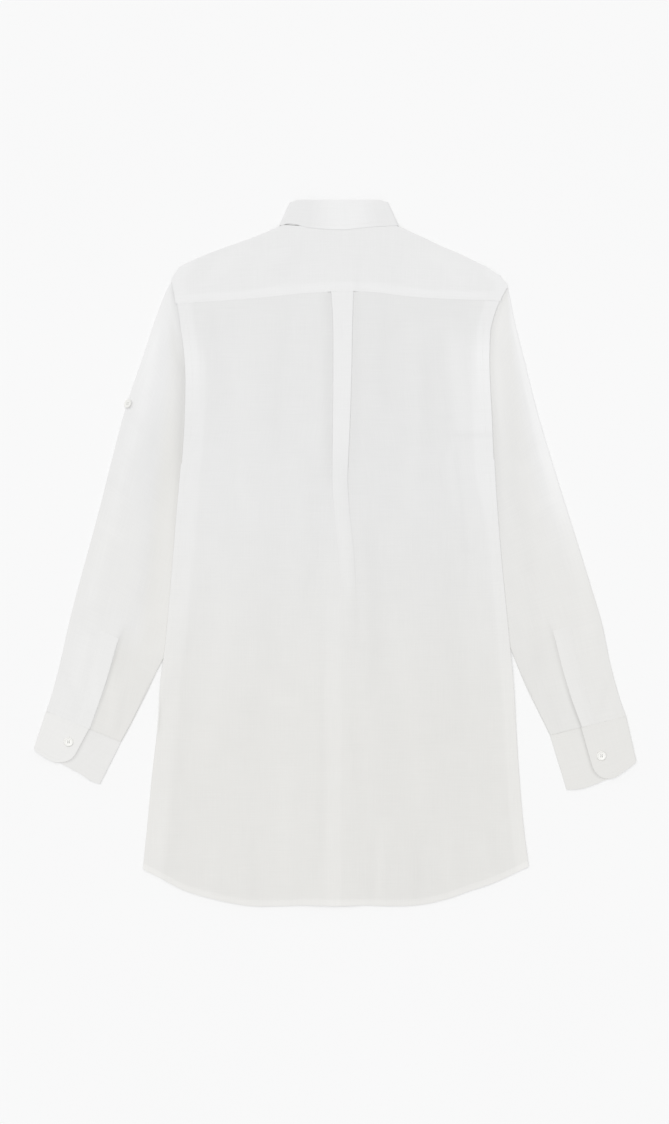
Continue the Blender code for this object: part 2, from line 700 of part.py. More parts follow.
def make_sleeve(side, stations):
    """A flattened tube: flat on the surface, softly raised on top, closed round both long edges."""
    name = "left" if side < 0 else "right"
    radius = (SLEEVE_THICK - CLOTH) / 2
    start = radius + CLOTH / 2
    angles = (45, 0, -45)
    upper = []
    lower = []
    places = sleeve_places()
    for place, line in zip(places, station_lines(stations, places)):
        outer = line[:2]
        inner = line[2:]
        width = np.hypot(*(inner - outer))
        way = (inner - outer) / width
        top = np.linspace(start, width - start, 9)
        x = outer[0] + way[0] * top
        down = outer[1] + way[1] * top
        height = SLEEVE_THICK - CLOTH / 2 + sleeve_puff(x, down, top - start)
        path = list(zip(top, height))
        middle = SLEEVE_THICK / 2
        for a in angles:
            path.append((
                width - start + radius * math.cos(math.radians(a)), middle + radius * math.sin(math.radians(a))
            ))
        for share in np.linspace(1, 0, 4):
            wave = UNDER_WAVE * math.sin(math.pi * share) * (0.7 + 0.3 * math.sin(2.1 * place + 2 * share))
            path.append((start + (width - 2 * start) * share, CLOTH / 2 + wave))
        for a in reversed(angles):
            path.append((start - radius * math.cos(math.radians(a)), middle + radius * math.sin(math.radians(a))))
        path = np.array(path)
        ring = np.concatenate([path[-1:], path, path[:1]])
        n_across, n_z = normals(ring[:, 0], ring[:, 1])
        n_across = n_across[1:-1]
        n_z = n_z[1:-1]
        for rows, sign in ((upper, 0.5), (lower, -0.5)):
            across = path[:, 0] + sign * CLOTH * n_across
            z = path[:, 1] + sign * CLOTH * n_z
            rows.append(grid_of(outer[0] + way[0] * across, outer[1] + way[1] * across, z))
    slab(f"sleeve_{name}", LINEN, np.array(upper), np.array(lower), ring=True)


def make_placket(side, stations):
    """The strip that binds the sleeve's opening, lying on the sleeve down to the cuff."""
    name = "left" if side < 0 else "right"
    places = [p for p in sleeve_places() if p >= PLACKET_TOP]
    upper = []
    lower = []
    for place, line in zip(places, station_lines(stations, places)):
        part = (place - PLACKET_TOP) / (12 - PLACKET_TOP)
        edge = PLACKET_EDGE[0] + (PLACKET_EDGE[1] - PLACKET_EDGE[0]) * part
        x, down, z = sleeve_top(line, edge - PLACKET_WIDE + np.linspace(0, PLACKET_WIDE, 4))
        upper.append(grid_of(x, down, z + 0.4 + CLOTH))
        lower.append(grid_of(x, down, z + 0.4))
    slab(f"placket_{name}", DOUBLE_LINEN, np.array(upper), np.array(lower))


def cuff_frame(stations, end, share):
    top = stations[-1]
    outer = np.array([top.outer_x, top.outer_down]) + (
        np.array([end.outer_x, end.outer_down]) - np.array([top.outer_x, top.outer_down])) * share
    inner = np.array([top.inner_x, top.inner_down]) + (
        np.array([end.inner_x, end.inner_down]) - np.array([top.inner_x, top.inner_down])) * share
    return outer, inner


def make_cuff(side, stations, end):
    """A band that goes once round and laps over itself on top, with one rounded corner."""
    name = "left" if side < 0 else "right"
    low = CUFF_CLOTH / 2
    under = 2 * CUFF_CLOTH + 0.6 - CUFF_CLOTH / 2
    over = under + CUFF_CLOTH + LAYER_GAP
    over_radius = (over - low) / 2
    under_radius = (under - low) / 2
    length = math.hypot(end.outer_x - stations[-1].outer_x, end.outer_down - stations[-1].outer_down)
    corner = CUFF_CORNER / length
    shares = np.concatenate([[0.5 / length, 0.4], 1 - corner * np.array([1.0, 0.6, 0.3, 0.1, 0.0])])
    upper = []
    lower = []
    for share in shares:
        outer, inner = cuff_frame(stations, end, share)
        width = np.hypot(*(inner - outer))
        way = (inner - outer) / width
        near = max(0.0, 1 - (1 - share) / corner)
        inset = CUFF_CORNER * (1 - math.sqrt(max(0.0, 1 - near ** 2)))
        flap = width * FLAP_AT - inset
        over_start = over_radius + CUFF_CLOTH / 2
        under_start = width - under_radius - CUFF_CLOTH / 2
        path = [(at, over) for at in np.linspace(flap, over_start, 6)]
        for a in (120, 150, 180, 210, 240):
            path.append((
                over_start + over_radius * math.cos(math.radians(a)),
                low + over_radius + over_radius * math.sin(math.radians(a)),
            ))
        path += [(at, low) for at in np.linspace(over_start, under_start, 5)]
        for a in (-60, -20, 20, 60):
            path.append((
                under_start + under_radius * math.cos(math.radians(a)),
                low + under_radius + under_radius * math.sin(math.radians(a)),
            ))
        path += [(at, under) for at in np.linspace(under_start, width * CUFF_LAP_TO, 6)]
        path = np.array(path)
        n_across, n_z = normals(path[:, 0], path[:, 1])
        for rows, sign in ((upper, 0.5), (lower, -0.5)):
            across = path[:, 0] + sign * CUFF_CLOTH * n_across
            z = path[:, 1] + sign * CUFF_CLOTH * n_z
            rows.append(grid_of(outer[0] + way[0] * across, outer[1] + way[1] * across, z))
    slab(f"cuff_{name}", DOUBLE_LINEN, np.array(upper), np.array(lower))
    return over + CUFF_CLOTH / 2


def make_button(name, x, down, low, tilt=0.0, heading=0.0):
    """A turned disc with a rounded rim and a dished face. It may lean by tilt, towards the given heading."""
    profile = ((0.0, 0.0), (5.1, 0.0), (5.7, 0.9), (5.1, 1.8), (4.3, 1.8), (3.6, 1.3), (0.0, 1.3))
    steps = 16
    points = [(0.0, 0.0, profile[0][1]), (0.0, 0.0, profile[-1][1])]
    for radius, z in profile[1:-1]:
        for s in range(steps):
            a = 2 * math.pi * s / steps
            points.append((radius * math.cos(a), radius * math.sin(a), z))
    faces = []
    rings = len(profile) - 2
    for s in range(steps):
        t = (s + 1) % steps
        faces.append((0, 2 + t, 2 + s))
        for ring in range(rings - 1):
            a = 2 + ring * steps
            b = a + steps
            faces.append((a + s, a + t, b + t, b + s))
        last = 2 + (rings - 1) * steps
        faces.append((last + s, last + t, 1))
    points = np.array(points)
    lean = math.radians(tilt)
    turned_x = points[:, 0] * math.cos(lean) - points[:, 2] * math.sin(lean)
    turned_z = points[:, 0] * math.sin(lean) + points[:, 2] * math.cos(lean)
    turn = math.radians(heading)
    placed_x = x + turned_x * math.cos(turn) - points[:, 1] * math.sin(turn)
    placed_down = down + turned_x * math.sin(turn) + points[:, 1] * math.cos(turn)
    placed = np.stack([placed_x, placed_down, low + turned_z], axis=1)
    solid(name, SHELL, placed, faces)


def make_buttons(cuff_top):
    for number in range(BUTTON_COUNT):
        down = FIRST_BUTTON + BUTTON_STEP * number
        low = OVER_BAND_LOW - LAYER_GAP - BUTTON_THICK
        make_button(f"front_button_{number + 1}", float(band_middle(down)), down, low)
    make_button("collar_button", COLLAR_X, COLLAR_BUTTON_DOWN, OVER_BAND_LOW - LAYER_GAP - BUTTON_THICK)
    make_button("cuff_button_left", -333.1, 676.9, cuff_top + LAYER_GAP)
    make_button("cuff_button_right", 332.4, 694.3, cuff_top + LAYER_GAP)
    make_button("tab_button_left", -258.7, 254.5, 4.3, tilt=45.0, heading=18.5)


PARTS, FIRST_UNDER = make_back()
make_front(-1, PARTS, FIRST_UNDER)
make_front(1, PARTS, FIRST_UNDER)
make_bands()
make_yoke()
make_collar()
for SIDE, SLEEVE, CUFF_END in ((-1, SLEEVE_LEFT, CUFF_END_LEFT), (1, SLEEVE_RIGHT, CUFF_END_RIGHT)):
    make_sleeve(SIDE, SLEEVE)
    make_placket(SIDE, SLEEVE)
    CUFF_TOP = make_cuff(SIDE, SLEEVE, CUFF_END)
make_buttons(CUFF_TOP)
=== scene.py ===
"""The long white linen shirt dress, laid flat with its back up, in its cloth, stitches and buttons."""

import math
from collections import namedtuple

import bmesh
import bpy
import numpy as np
from mathutils import Matrix

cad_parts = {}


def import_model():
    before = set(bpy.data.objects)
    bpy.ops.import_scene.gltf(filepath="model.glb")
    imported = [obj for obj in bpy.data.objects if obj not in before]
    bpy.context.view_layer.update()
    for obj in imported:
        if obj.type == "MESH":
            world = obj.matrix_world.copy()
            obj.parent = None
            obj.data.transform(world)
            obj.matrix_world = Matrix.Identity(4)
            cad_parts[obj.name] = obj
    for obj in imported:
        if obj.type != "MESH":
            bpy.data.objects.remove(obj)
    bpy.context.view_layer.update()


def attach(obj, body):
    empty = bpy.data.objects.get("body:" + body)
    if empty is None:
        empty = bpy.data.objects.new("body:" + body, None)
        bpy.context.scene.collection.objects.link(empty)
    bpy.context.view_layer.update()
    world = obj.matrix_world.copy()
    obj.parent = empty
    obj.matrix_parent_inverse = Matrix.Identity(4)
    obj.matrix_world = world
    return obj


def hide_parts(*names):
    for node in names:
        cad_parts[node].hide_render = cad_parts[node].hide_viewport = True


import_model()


# The table, the light and the camera
# A plain pale top that the shirt lies on, a large soft light from the upper left as over a product table,
# and a camera that looks straight down, as in the photograph.

TABLE_SIZE = 90.0
TABLE_TOP = -0.0004
TABLE_GLOW = 0.386
TABLE_TONES = (0.664, 0.672)
ROOM_COLOUR = (0.985, 0.99, 1.0, 1.0)
ROOM_STRENGTH = 0.6
SOFT_BOX_COLOUR = (1.0, 0.995, 0.985)
SOFT_BOX_ENERGY = 1.415
SOFT_BOX_ANGLE = math.radians(60)
SOFT_BOX_TILT = (math.radians(-12), math.radians(-7), 0.0)

FRAME_HIGH = 1.405
CAMERA_AWAY = 4.2
CAMERA_X = -0.0010
CAMERA_Y = -0.0100
SENSOR = 36.0



def set_inputs(node, values):
    """Gives inputs of the node their values, or links them where the value is another node's output."""
    for name, value in values.items():
        if isinstance(value, bpy.types.NodeSocket):
            node.id_data.links.new(value, node.inputs[name])
        else:
            node.inputs[name].default_value = value


def add_node(nodes, kind, inputs=None, **settings):
    """One more node, with these settings and with these values at its inputs."""
    node = nodes.new(kind)
    for name, value in settings.items():
        setattr(node, name, value)
    set_inputs(node, inputs or {})
    return node


def new_material(name, inputs):
    """A material with these values at its shader's inputs, its nodes and its shader."""
    material = bpy.data.materials.new(name)
    material.use_nodes = True
    nodes = material.node_tree.nodes
    shader = nodes["Principled BSDF"]
    set_inputs(shader, inputs)
    return material, nodes, shader


def make_table():
    bpy.ops.mesh.primitive_plane_add(size=TABLE_SIZE, location=(0, 0, TABLE_TOP))
    table = bpy.context.object
    table.name = "table_top"
    material, nodes, shader = new_material("pale table top", {
        "Roughness": 0.9, "Specular IOR Level": 0.1, "Emission Strength": TABLE_GLOW,
    })
    place = nodes.new("ShaderNodeTexCoord")
    cloud = add_node(nodes, "ShaderNodeTexNoise", {"Vector": place.outputs["Object"], "Scale": 3.0})
    tone = add_node(nodes, "ShaderNodeMapRange", {
        "Value": cloud.outputs["Fac"], "To Min": TABLE_TONES[0], "To Max": TABLE_TONES[1],
    })
    set_inputs(shader, {"Base Color": tone.outputs["Result"], "Emission Color": tone.outputs["Result"]})
    table.data.materials.append(material)


def make_light():
    world = bpy.data.worlds.new("soft room")
    bpy.context.scene.world = world
    world.use_nodes = True
    set_inputs(world.node_tree.nodes["Background"], {"Color": ROOM_COLOUR, "Strength": ROOM_STRENGTH})
    lamp = bpy.data.lights.new("soft box", "SUN")
    lamp.energy = SOFT_BOX_ENERGY
    lamp.angle = SOFT_BOX_ANGLE
    lamp.color = SOFT_BOX_COLOUR
    soft_box = bpy.data.objects.new("soft box", lamp)
    soft_box.rotation_euler = SOFT_BOX_TILT
    bpy.context.scene.collection.objects.link(soft_box)


def make_camera():
    lens = bpy.data.cameras.new("camera")
    lens.sensor_fit = "VERTICAL"
    lens.sensor_height = SENSOR
    lens.lens = SENSOR * CAMERA_AWAY / FRAME_HIGH
    camera = bpy.data.objects.new("camera", lens)
    camera.location = (CAMERA_X, CAMERA_Y, CAMERA_AWAY)
    bpy.context.scene.collection.objects.link(camera)
    bpy.context.scene.camera = camera
    bpy.context.scene.view_settings.view_transform = "Standard"


make_camera()
make_table()
make_light()


# The back panel
# One piece of plain-weave linen, slightly sheer, from the yoke seam to a curved shirt-tail hem. A box pleat
# is caught in the seam at its middle, the sides turn under to the side seams, and the hem is turned twice.

# Sizes are in millimetres. Places are x across from the middle line and down from the collar's top. Heights
# are above the table. The collar's points, the button bands and the sleeves lie under the body and lift it.
MM = 0.001
LENGTH = 884.4
SIDE_NAMES = {-1: "left", 1: "right"}
CLOTH = 1.0
SEAM_GAP = 0.6
LAYER_GAP = 0.3
INNER_GAP = 0.6
FILL = 2.3
FILL_AT_SIDE = 38.0
FILL_AT_HEM = 50.0
FILL_AT_SHOULDER = 34.0
OVER_BAND_LOW = 2.3
UNDER_BAND_LOW = OVER_BAND_LOW + CLOTH + LAYER_GAP
SLEEVE_THICK = 2.8
BODY_LIFT = SLEEVE_THICK + 0.4
LIFT_RAMP = 30.0
LIFT_AHEAD = 14.0
BAND_HALF = 16.0
BAND_RAMP = 28.0
SIDE_TURN_UNDER = 26.0
SIDE_INSET = 1.3
UNDERARM_DOWN = 330.0
COLLAR_X = 4.5
LEAF_REACH = 96.0
LEAF_DOWN = 45.0
LEAF_LIFT = 1.3
NECK_HALF = 74.0
NECK_DEPTH = 59.0
NECK_DOWN = 31.0
NECK_LIFT = 1.0
HEM_TURN = 7.0
PLEAT_TOP = 114.0
SEAM_CORNER_X = 190.0

Side = namedtuple("Side", "down left right")
SIDES = (
    Side(86, 199, 217), Side(105, 203, 214), Side(130, 198.6, 204.4), Side(160, 194.2, 195.4),
    Side(185, 190.6, 194), Side(270, 189.6, 197), Side(312, 192.2, 198.8), Side(345, 195, 200.4),
    Side(375, 197.8, 202.5), Side(450, 204, 208.6), Side(500, 208.3, 213.5), Side(550, 213, 218.4),
    Side(590, 218, 222.1), Side(650, 222, 225.9), Side(710, 228.6, 229.6), Side(785, 235.4, 235.9),
    Side(836, 240.4, 242.1),
)
Line = namedtuple("Line", "x down")
HEM = (
    Line(-240.4, 836), Line(-219, 847), Line(-190, 862), Line(-157, 872), Line(-123, 879.5), Line(-105, 882),
    Line(-70, 882), Line(-35, 881), Line(0, 882), Line(35, 881), Line(70, 882), Line(105, 880.5),
    Line(138, 873.5), Line(170, 862.5), Line(187, 857), Line(203, 851), Line(219, 843.5), Line(242.1, 832.3),
)
YOKE_SEAM = (
    Line(-195, 129), Line(-106, 122.5), Line(-25, 115), Line(40, 114), Line(93, 120), Line(203, 125.5),
)
SHOULDER_LEFT = (
    Line(69.5, 32.6), Line(74, 34.6), Line(81.6, 38.0), Line(104, 47.3), Line(133, 57.3), Line(159, 67.3),
    Line(181.6, 77.3), Line(194, 83.8), Line(199, 89),
)
SHOULDER_RIGHT = (
    Line(78.5, 32.6), Line(83, 34.6), Line(89.6, 37.8), Line(111, 47.3), Line(132, 57.3), Line(156, 67.3),
    Line(176, 77.3), Line(194.6, 87.3), Line(208.4, 97.3), Line(214.6, 103.5),
)
Station = namedtuple("Station", "outer_x outer_down inner_x inner_down")
SLEEVE_LEFT = (
    Station(-185.4, 84.8, -146.6, 297.3), Station(-206.6, 104.8, -134.1, 318.5),
    Station(-224.1, 147.3, -126.6, 343.5), Station(-241.6, 199.8, -124.1, 372.3),
    Station(-260.4, 254.8, -129.1, 402.3), Station(-277.9, 319.8, -141.6, 434.8),
    Station(-292.9, 379.8, -159.1, 472.3), Station(-306.6, 431.0, -179.1, 509.8),
    Station(-320.4, 481.0, -199.1, 547.3), Station(-332.9, 529.8, -218.5, 579.8),
    Station(-344.1, 579.8, -236.6, 617.3), Station(-354.1, 617.3, -255.4, 654.8),
    Station(-361.2, 638.8, -267.5, 676.9),
)
SLEEVE_RIGHT = (
    Station(205.9, 93.5, 145.9, 289.8), Station(215.9, 112.3, 137.1, 306.0),
    Station(223.5, 149.8, 130.9, 322.3), Station(235.9, 199.8, 132.1, 344.8),
    Station(250.9, 259.8, 138.4, 372.3), Station(268.5, 319.8, 148.4, 402.3),
    Station(287.1, 379.8, 164.6, 439.8), Station(303.4, 431.0, 183.4, 481.0),
    Station(319.6, 483.5, 202.1, 522.3), Station(333.4, 529.8, 219.6, 562.3),
    Station(343.8, 579.8, 237.1, 604.8), Station(354.6, 619.8, 252.1, 636.0),
    Station(363.4, 644.8, 268.2, 668.4),
)
Pleat = namedtuple("Pleat", "down middle half depth turn")
PLEAT = (
    Pleat(114, 8.8, 13.6, 11.0, 180), Pleat(140, 9.2, 12.2, 10.2, 180), Pleat(200, 9.0, 11.2, 9.0, 180),
    Pleat(262, 8.0, 10.6, 6.0, 180), Pleat(300, 7.0, 10.0, 2.6, 178), Pleat(325, 6.2, 9.6, 1.4, 172),
    Pleat(350, 5.8, 9.3, 0.9, 110), Pleat(385, 7.8, 9.2, 0.8, 60), Pleat(440, 13.2, 9.6, 0.9, 36),
    Pleat(530, 18.0, 9.0, 0.8, 14), Pleat(620, 19.0, 13.0, 0.6, 5), Pleat(884, 18.0, 13.0, 0.6, 2),
)
PLEAT_FOLD = 0.65
PLEAT_RISE = 4 * PLEAT_FOLD

# Creases pressed into the laid shirt: soft troughs (depth below zero) and ridges, from one end to the other
Crease = namedtuple("Crease", "x down to_x to_down wide depth")
CREASES = (
    Crease(-62, 135, -70, 330, 9, -0.55), Crease(-110, 150, -122, 420, 13, 0.5),
    Crease(-150, 140, -155, 300, 10, -0.45), Crease(62, 130, 66, 260, 8, -0.45),
    Crease(113, 200, 120, 330, 8, -0.6), Crease(98, 140, 92, 420, 12, 0.5),
    Crease(150, 160, 156, 290, 10, 0.5), Crease(152, 297, 158, 470, 3.2, -0.7),
    Crease(158, 298, 200, 296, 2.6, -0.5), Crease(140, 430, 150, 640, 14, -0.45),
    Crease(-26, 320, -34, 520, 11, -0.6), Crease(-80, 420, -96, 700, 16, -0.5),
    Crease(-140, 440, -150, 720, 15, 0.55), Crease(-185, 520, -196, 800, 12, -0.45),
    Crease(38, 400, 52, 620, 10, -0.7), Crease(84, 500, 96, 760, 15, 0.5),
    Crease(185, 560, 200, 800, 12, -0.45), Crease(-18, 600, -14, 860, 8, -0.5),
    Crease(28, 640, 26, 870, 9, -0.45), Crease(-60, 700, -58, 878, 10, 0.5),
    Crease(62, 780, 58, 884, 7, 0.8), Crease(45, 800, 48, 884, 5, -0.7),
    Crease(100, 800, 104, 884, 8, -0.6), Crease(140, 790, 146, 876, 8, 0.5),
    Crease(-100, 790, -106, 882, 7, -0.5), Crease(-150, 800, -160, 876, 8, 0.45),
    Crease(-200, 790, -212, 856, 6, -0.5), Crease(196, 780, 206, 852, 7, -0.5),
    Crease(-30, 540, 60, 575, 12, -0.3), Crease(-120, 590, -40, 640, 13, 0.3),
    Crease(70, 690, 170, 660, 12, -0.3), Crease(-190, 640, -120, 680, 11, -0.3),
    Crease(-40, 60, -70, 100, 9, -0.4), Crease(55, 62, 88, 104, 9, -0.4),
    Crease(-120, 70, -165, 112, 10, 0.4), Crease(120, 66, 168, 108, 10, 0.4),
    # Left sleeve: a long fold along its outer side, a trough beside the body, short creases at the elbow
    Crease(-219, 150, -262, 330, 9, 0.9), Crease(-262, 330, -300, 520, 10, 0.9),
    Crease(-207, 170, -222, 330, 10, -1.0), Crease(-222, 330, -250, 520, 11, -1.0),
    Crease(-250, 520, -272, 600, 9, -0.8), Crease(-300, 520, -330, 620, 9, 0.6),
    Crease(-262, 262, -236, 290, 6, -0.6), Crease(-286, 350, -255, 372, 6, -0.5),
    Crease(-296, 402, -262, 430, 7, 0.5), Crease(-322, 520, -296, 548, 6, -0.5),
    Crease(-342, 585, -318, 640, 5, -0.45), Crease(-300, 590, -296, 640, 6, 0.5),
    Crease(-276, 610, -282, 668, 6, 0.6), Crease(-262, 612, -268, 668, 5, -0.5),
    # Right sleeve: the fold runs close to its outer edge
    Crease(228, 150, 262, 290, 8, 0.8), Crease(262, 290, 300, 430, 9, 0.9),
    Crease(300, 430, 326, 560, 9, 0.7), Crease(212, 180, 222, 340, 10, -0.9),
    Crease(222, 340, 246, 500, 11, -0.9), Crease(246, 500, 262, 600, 9, -0.7),
    Crease(254, 300, 234, 330, 7, -0.5), Crease(276, 372, 244, 392, 6, 0.45),
    Crease(344, 600, 330, 642, 6, -0.45), Crease(286, 600, 292, 660, 5, 0.5),
    Crease(268, 610, 276, 664, 5, -0.45),
)
# How much painted shade the pressed creases' troughs take, and painted light their ridges
CREASE_SHADING = 0.12
CREASE_BEND = 0.05
CREASE_OVERRUN = 0.12
CREASE_FADE = 0.3

# How much paler the back is where more cloth lies behind it, from 0 to 1, and the painted shade (below zero)
# in the troughs beside the pleat and towards the bottom. Pairs are for left and right.
PLAIN_TONE = 0.17
TURNED_TONE = 0.25
ARMHOLE_TONE = 0.35
TUCKED_TONES = (0.04, 0.18)
FLAP_TONES = (0.06, 0.24)
BAND_TONE = 0.17
PLEAT_TROUGH_SHADE = -0.15
HEM_TONE = 0.4
LOWER_SHADE = -0.10
Tone = namedtuple("Tone", "at value")
PLEAT_TONE = (Tone(300, 0.58), Tone(328, 0.42), Tone(420, 0.42), Tone(475, 0.34), Tone(540, 0.0))
BACK_ROWS = ((0, 0.012, 3), (0.02, 0.97, 170), (0.975, 1.0, 9))

WARM_BELOW = (320.0, 380.0)
CLOTH_EDGE_ANGLE = math.radians(55)
THREAD_PITCH = 0.0006
SLUB = 0.5
SLUB_SCALES = ((900.0, 22.0, 1.0), (22.0, 900.0, 1.0))
RUB = 0.3
RUB_SCALE = 34.0
WEAVE_TONE = 0.12
WEAVE_HEIGHT = 0.35
WEAVE_CONTRAST = 0.09
SHADE_DEPTH = 0.2
# The warmer tint: on the sleeves it goes with their painted shade, and on the body it grows lower down
WARM_TINT = (0.993, 0.985, 0.962, 1.0)

# Layers above the first of these heights are pressed to this share, and creases reach their full depth from
# the last height on.
PRESS_FROM = 2.3
PRESSED = 0.5
SETTLE_FROM = 3.0


def smooth(t):
    t = np.clip(t, 0.0, 1.0)
    return t * t * (3.0 - 2.0 * t)


def past(value, start, over):
    """Rises softly from 0 at the start to 1 when the value is this much over it."""
    return smooth((value - start) / over)


def before(value, start, over):
    """Falls softly from 1 at the start to 0 when the value is this much over it."""
    return 1 - past(value, start, over)


def hump(value, middle, wide):
    """Is 1 at the middle and fades out softly on both sides of it."""
    return np.exp(-((value - middle) / wide) ** 2)


def mix(first, second, share):
    return first * (1 - share) + second * share


def curve(knots, values, at):
    """A smooth curve through the knots, held at its end values beyond them."""
    knots = np.asarray(knots, float)
    values = np.asarray(values, float)
    slopes = np.gradient(values, knots)
    at = np.clip(np.asarray(at, float), knots[0], knots[-1])
    i = np.clip(np.searchsorted(knots, at, side="right") - 1, 0, len(knots) - 2)
    step = knots[i + 1] - knots[i]
    t = (at - knots[i]) / step
    start = values[i] * (1 + 2 * t) * (1 - t) ** 2 + slopes[i] * step * t * (1 - t) ** 2
    end = values[i + 1] * t * t * (3 - 2 * t) + slopes[i + 1] * step * t * t * (t - 1)
    return start + end


def column(rows, name):
    return np.array([getattr(row, name) for row in rows], float)


def along(rows, at, key="x", name="down"):
    return curve(column(rows, key), column(rows, name), at)


def tone_at(tones, at):
    return np.interp(at, column(tones, "at"), column(tones, "value"))


def half_width(side, down):
    return along(SIDES, down, "down", side)


def edge_width(x, down):
    return np.where(np.asarray(x) < 0, half_width("left", down), half_width("right", down))


def hem_down(x):
    return along(HEM, x)


def hem_corner_down(side):
    return HEM[0].down if side < 0 else HEM[-1].down


def yoke_seam_down(x):
    return along(YOKE_SEAM, x)


def shoulder_down(x):
    left = along(SHOULDER_LEFT, -np.asarray(x, float))
    right = along(SHOULDER_RIGHT, x)
    return np.where(np.asarray(x) < COLLAR_X, left, right)


def band_middle(down):
    """The button bands drift a little to the left on their way down."""
    return COLLAR_X - 7.5 * past(np.asarray(down, float), 90.0, 500.0)


def sleeve_limit(x, down):
    """How far from the middle line the hidden inner edge of the sleeve lies."""
    limits = []
    for stations in (SLEEVE_LEFT, SLEEVE_RIGHT):
        downs = [stations[0].outer_down] + [s.inner_down for s in stations]
        widths = [abs(stations[0].outer_x)] + [abs(s.inner_x) for s in stations]
        limits.append(np.interp(down, downs, widths))
    return np.where(np.asarray(x) < 0, limits[0], limits[1])


def front_low(x, down, lift=UNDER_BAND_LOW):
    """Height of the lower face of the fronts: over the sleeves, the button band and the collar's points."""
    side = BODY_LIFT * smooth((np.abs(x) - sleeve_limit(x, down) + LIFT_AHEAD + LIFT_RAMP) / LIFT_RAMP)
    centre = lift * before(np.abs(x - band_middle(down)), BAND_HALF + 0.5, BAND_RAMP)
    leaf = np.hypot(x - COLLAR_X, down - LEAF_DOWN) / LEAF_REACH
    neck = np.hypot((x - COLLAR_X) / NECK_HALF, (down - NECK_DOWN) / NECK_DEPTH)
    collar = LEAF_LIFT * before(leaf, 1, 0.35) + NECK_LIFT * before(neck, 1, 0.4)
    return np.maximum(np.maximum(side, centre), collar)


def back_low(x, down):
    """Height of the lower face of the back, which lies on the fronts with a little air between."""
    on_fronts = front_low(x, down) + CLOTH + INNER_GAP
    room = smooth((edge_width(x, down) - np.abs(x)) / FILL_AT_SIDE)
    room = room * smooth((hem_down(x) - down) / FILL_AT_HEM)
    room = room * smooth((down - shoulder_down(x)) / FILL_AT_SHOULDER)
    return np.maximum(on_fronts, CLOTH + INNER_GAP + FILL * room)


def creased(x, down):
    """Height that the pressed creases add at each point."""
    total = np.zeros(np.broadcast(x, down).shape)
    for crease in CREASES:
        way = np.array([crease.to_x - crease.x, crease.to_down - crease.down], float)
        length = np.hypot(*way)
        way /= length
        t = ((x - crease.x) * way[0] + (down - crease.down) * way[1]) / length
        bend = CREASE_BEND * length * np.sin(3.0 * t + crease.x * 0.1)
        off = (x - crease.x) * way[1] - (down - crease.down) * way[0] + bend * np.clip(t, 0, 1)
        ends = smooth((t + CREASE_OVERRUN) / CREASE_FADE) * smooth((1 + CREASE_OVERRUN - t) / CREASE_FADE)
        total += crease.depth * ends * hump(off, 0.0, crease.wide)
    return total


def settled(points):
    """Points as x, down and height in millimetres, pressed and creased, and set in the shirt's own frame.

    Both move everything above one place by the same rule, so no layer passes through another."""
    x, down, z = points[..., 0], points[..., 1], points[..., 2]
    z = np.where(z > PRESS_FROM, PRESS_FROM + PRESSED * (z - PRESS_FROM), z)
    z = z + creased(x, down) * smooth(z / SETTLE_FROM)
    return np.stack([x, LENGTH / 2 - down, z], axis=-1) * MM


def normals(first, second):
    d1 = np.gradient(first, axis=-1)
    d2 = np.gradient(second, axis=-1)
    size = np.maximum(np.hypot(d1, d2), 1e-9)
    return -d2 / size, d1 / size


def grid_of(x, down, z):
    return np.stack(np.broadcast_arrays(x, down, z), axis=-1).astype(float)


def run_along(first, second):
    """How far each point of a path lies along it."""
    return np.concatenate([[0], np.cumsum(np.hypot(np.diff(first), np.diff(second)))])


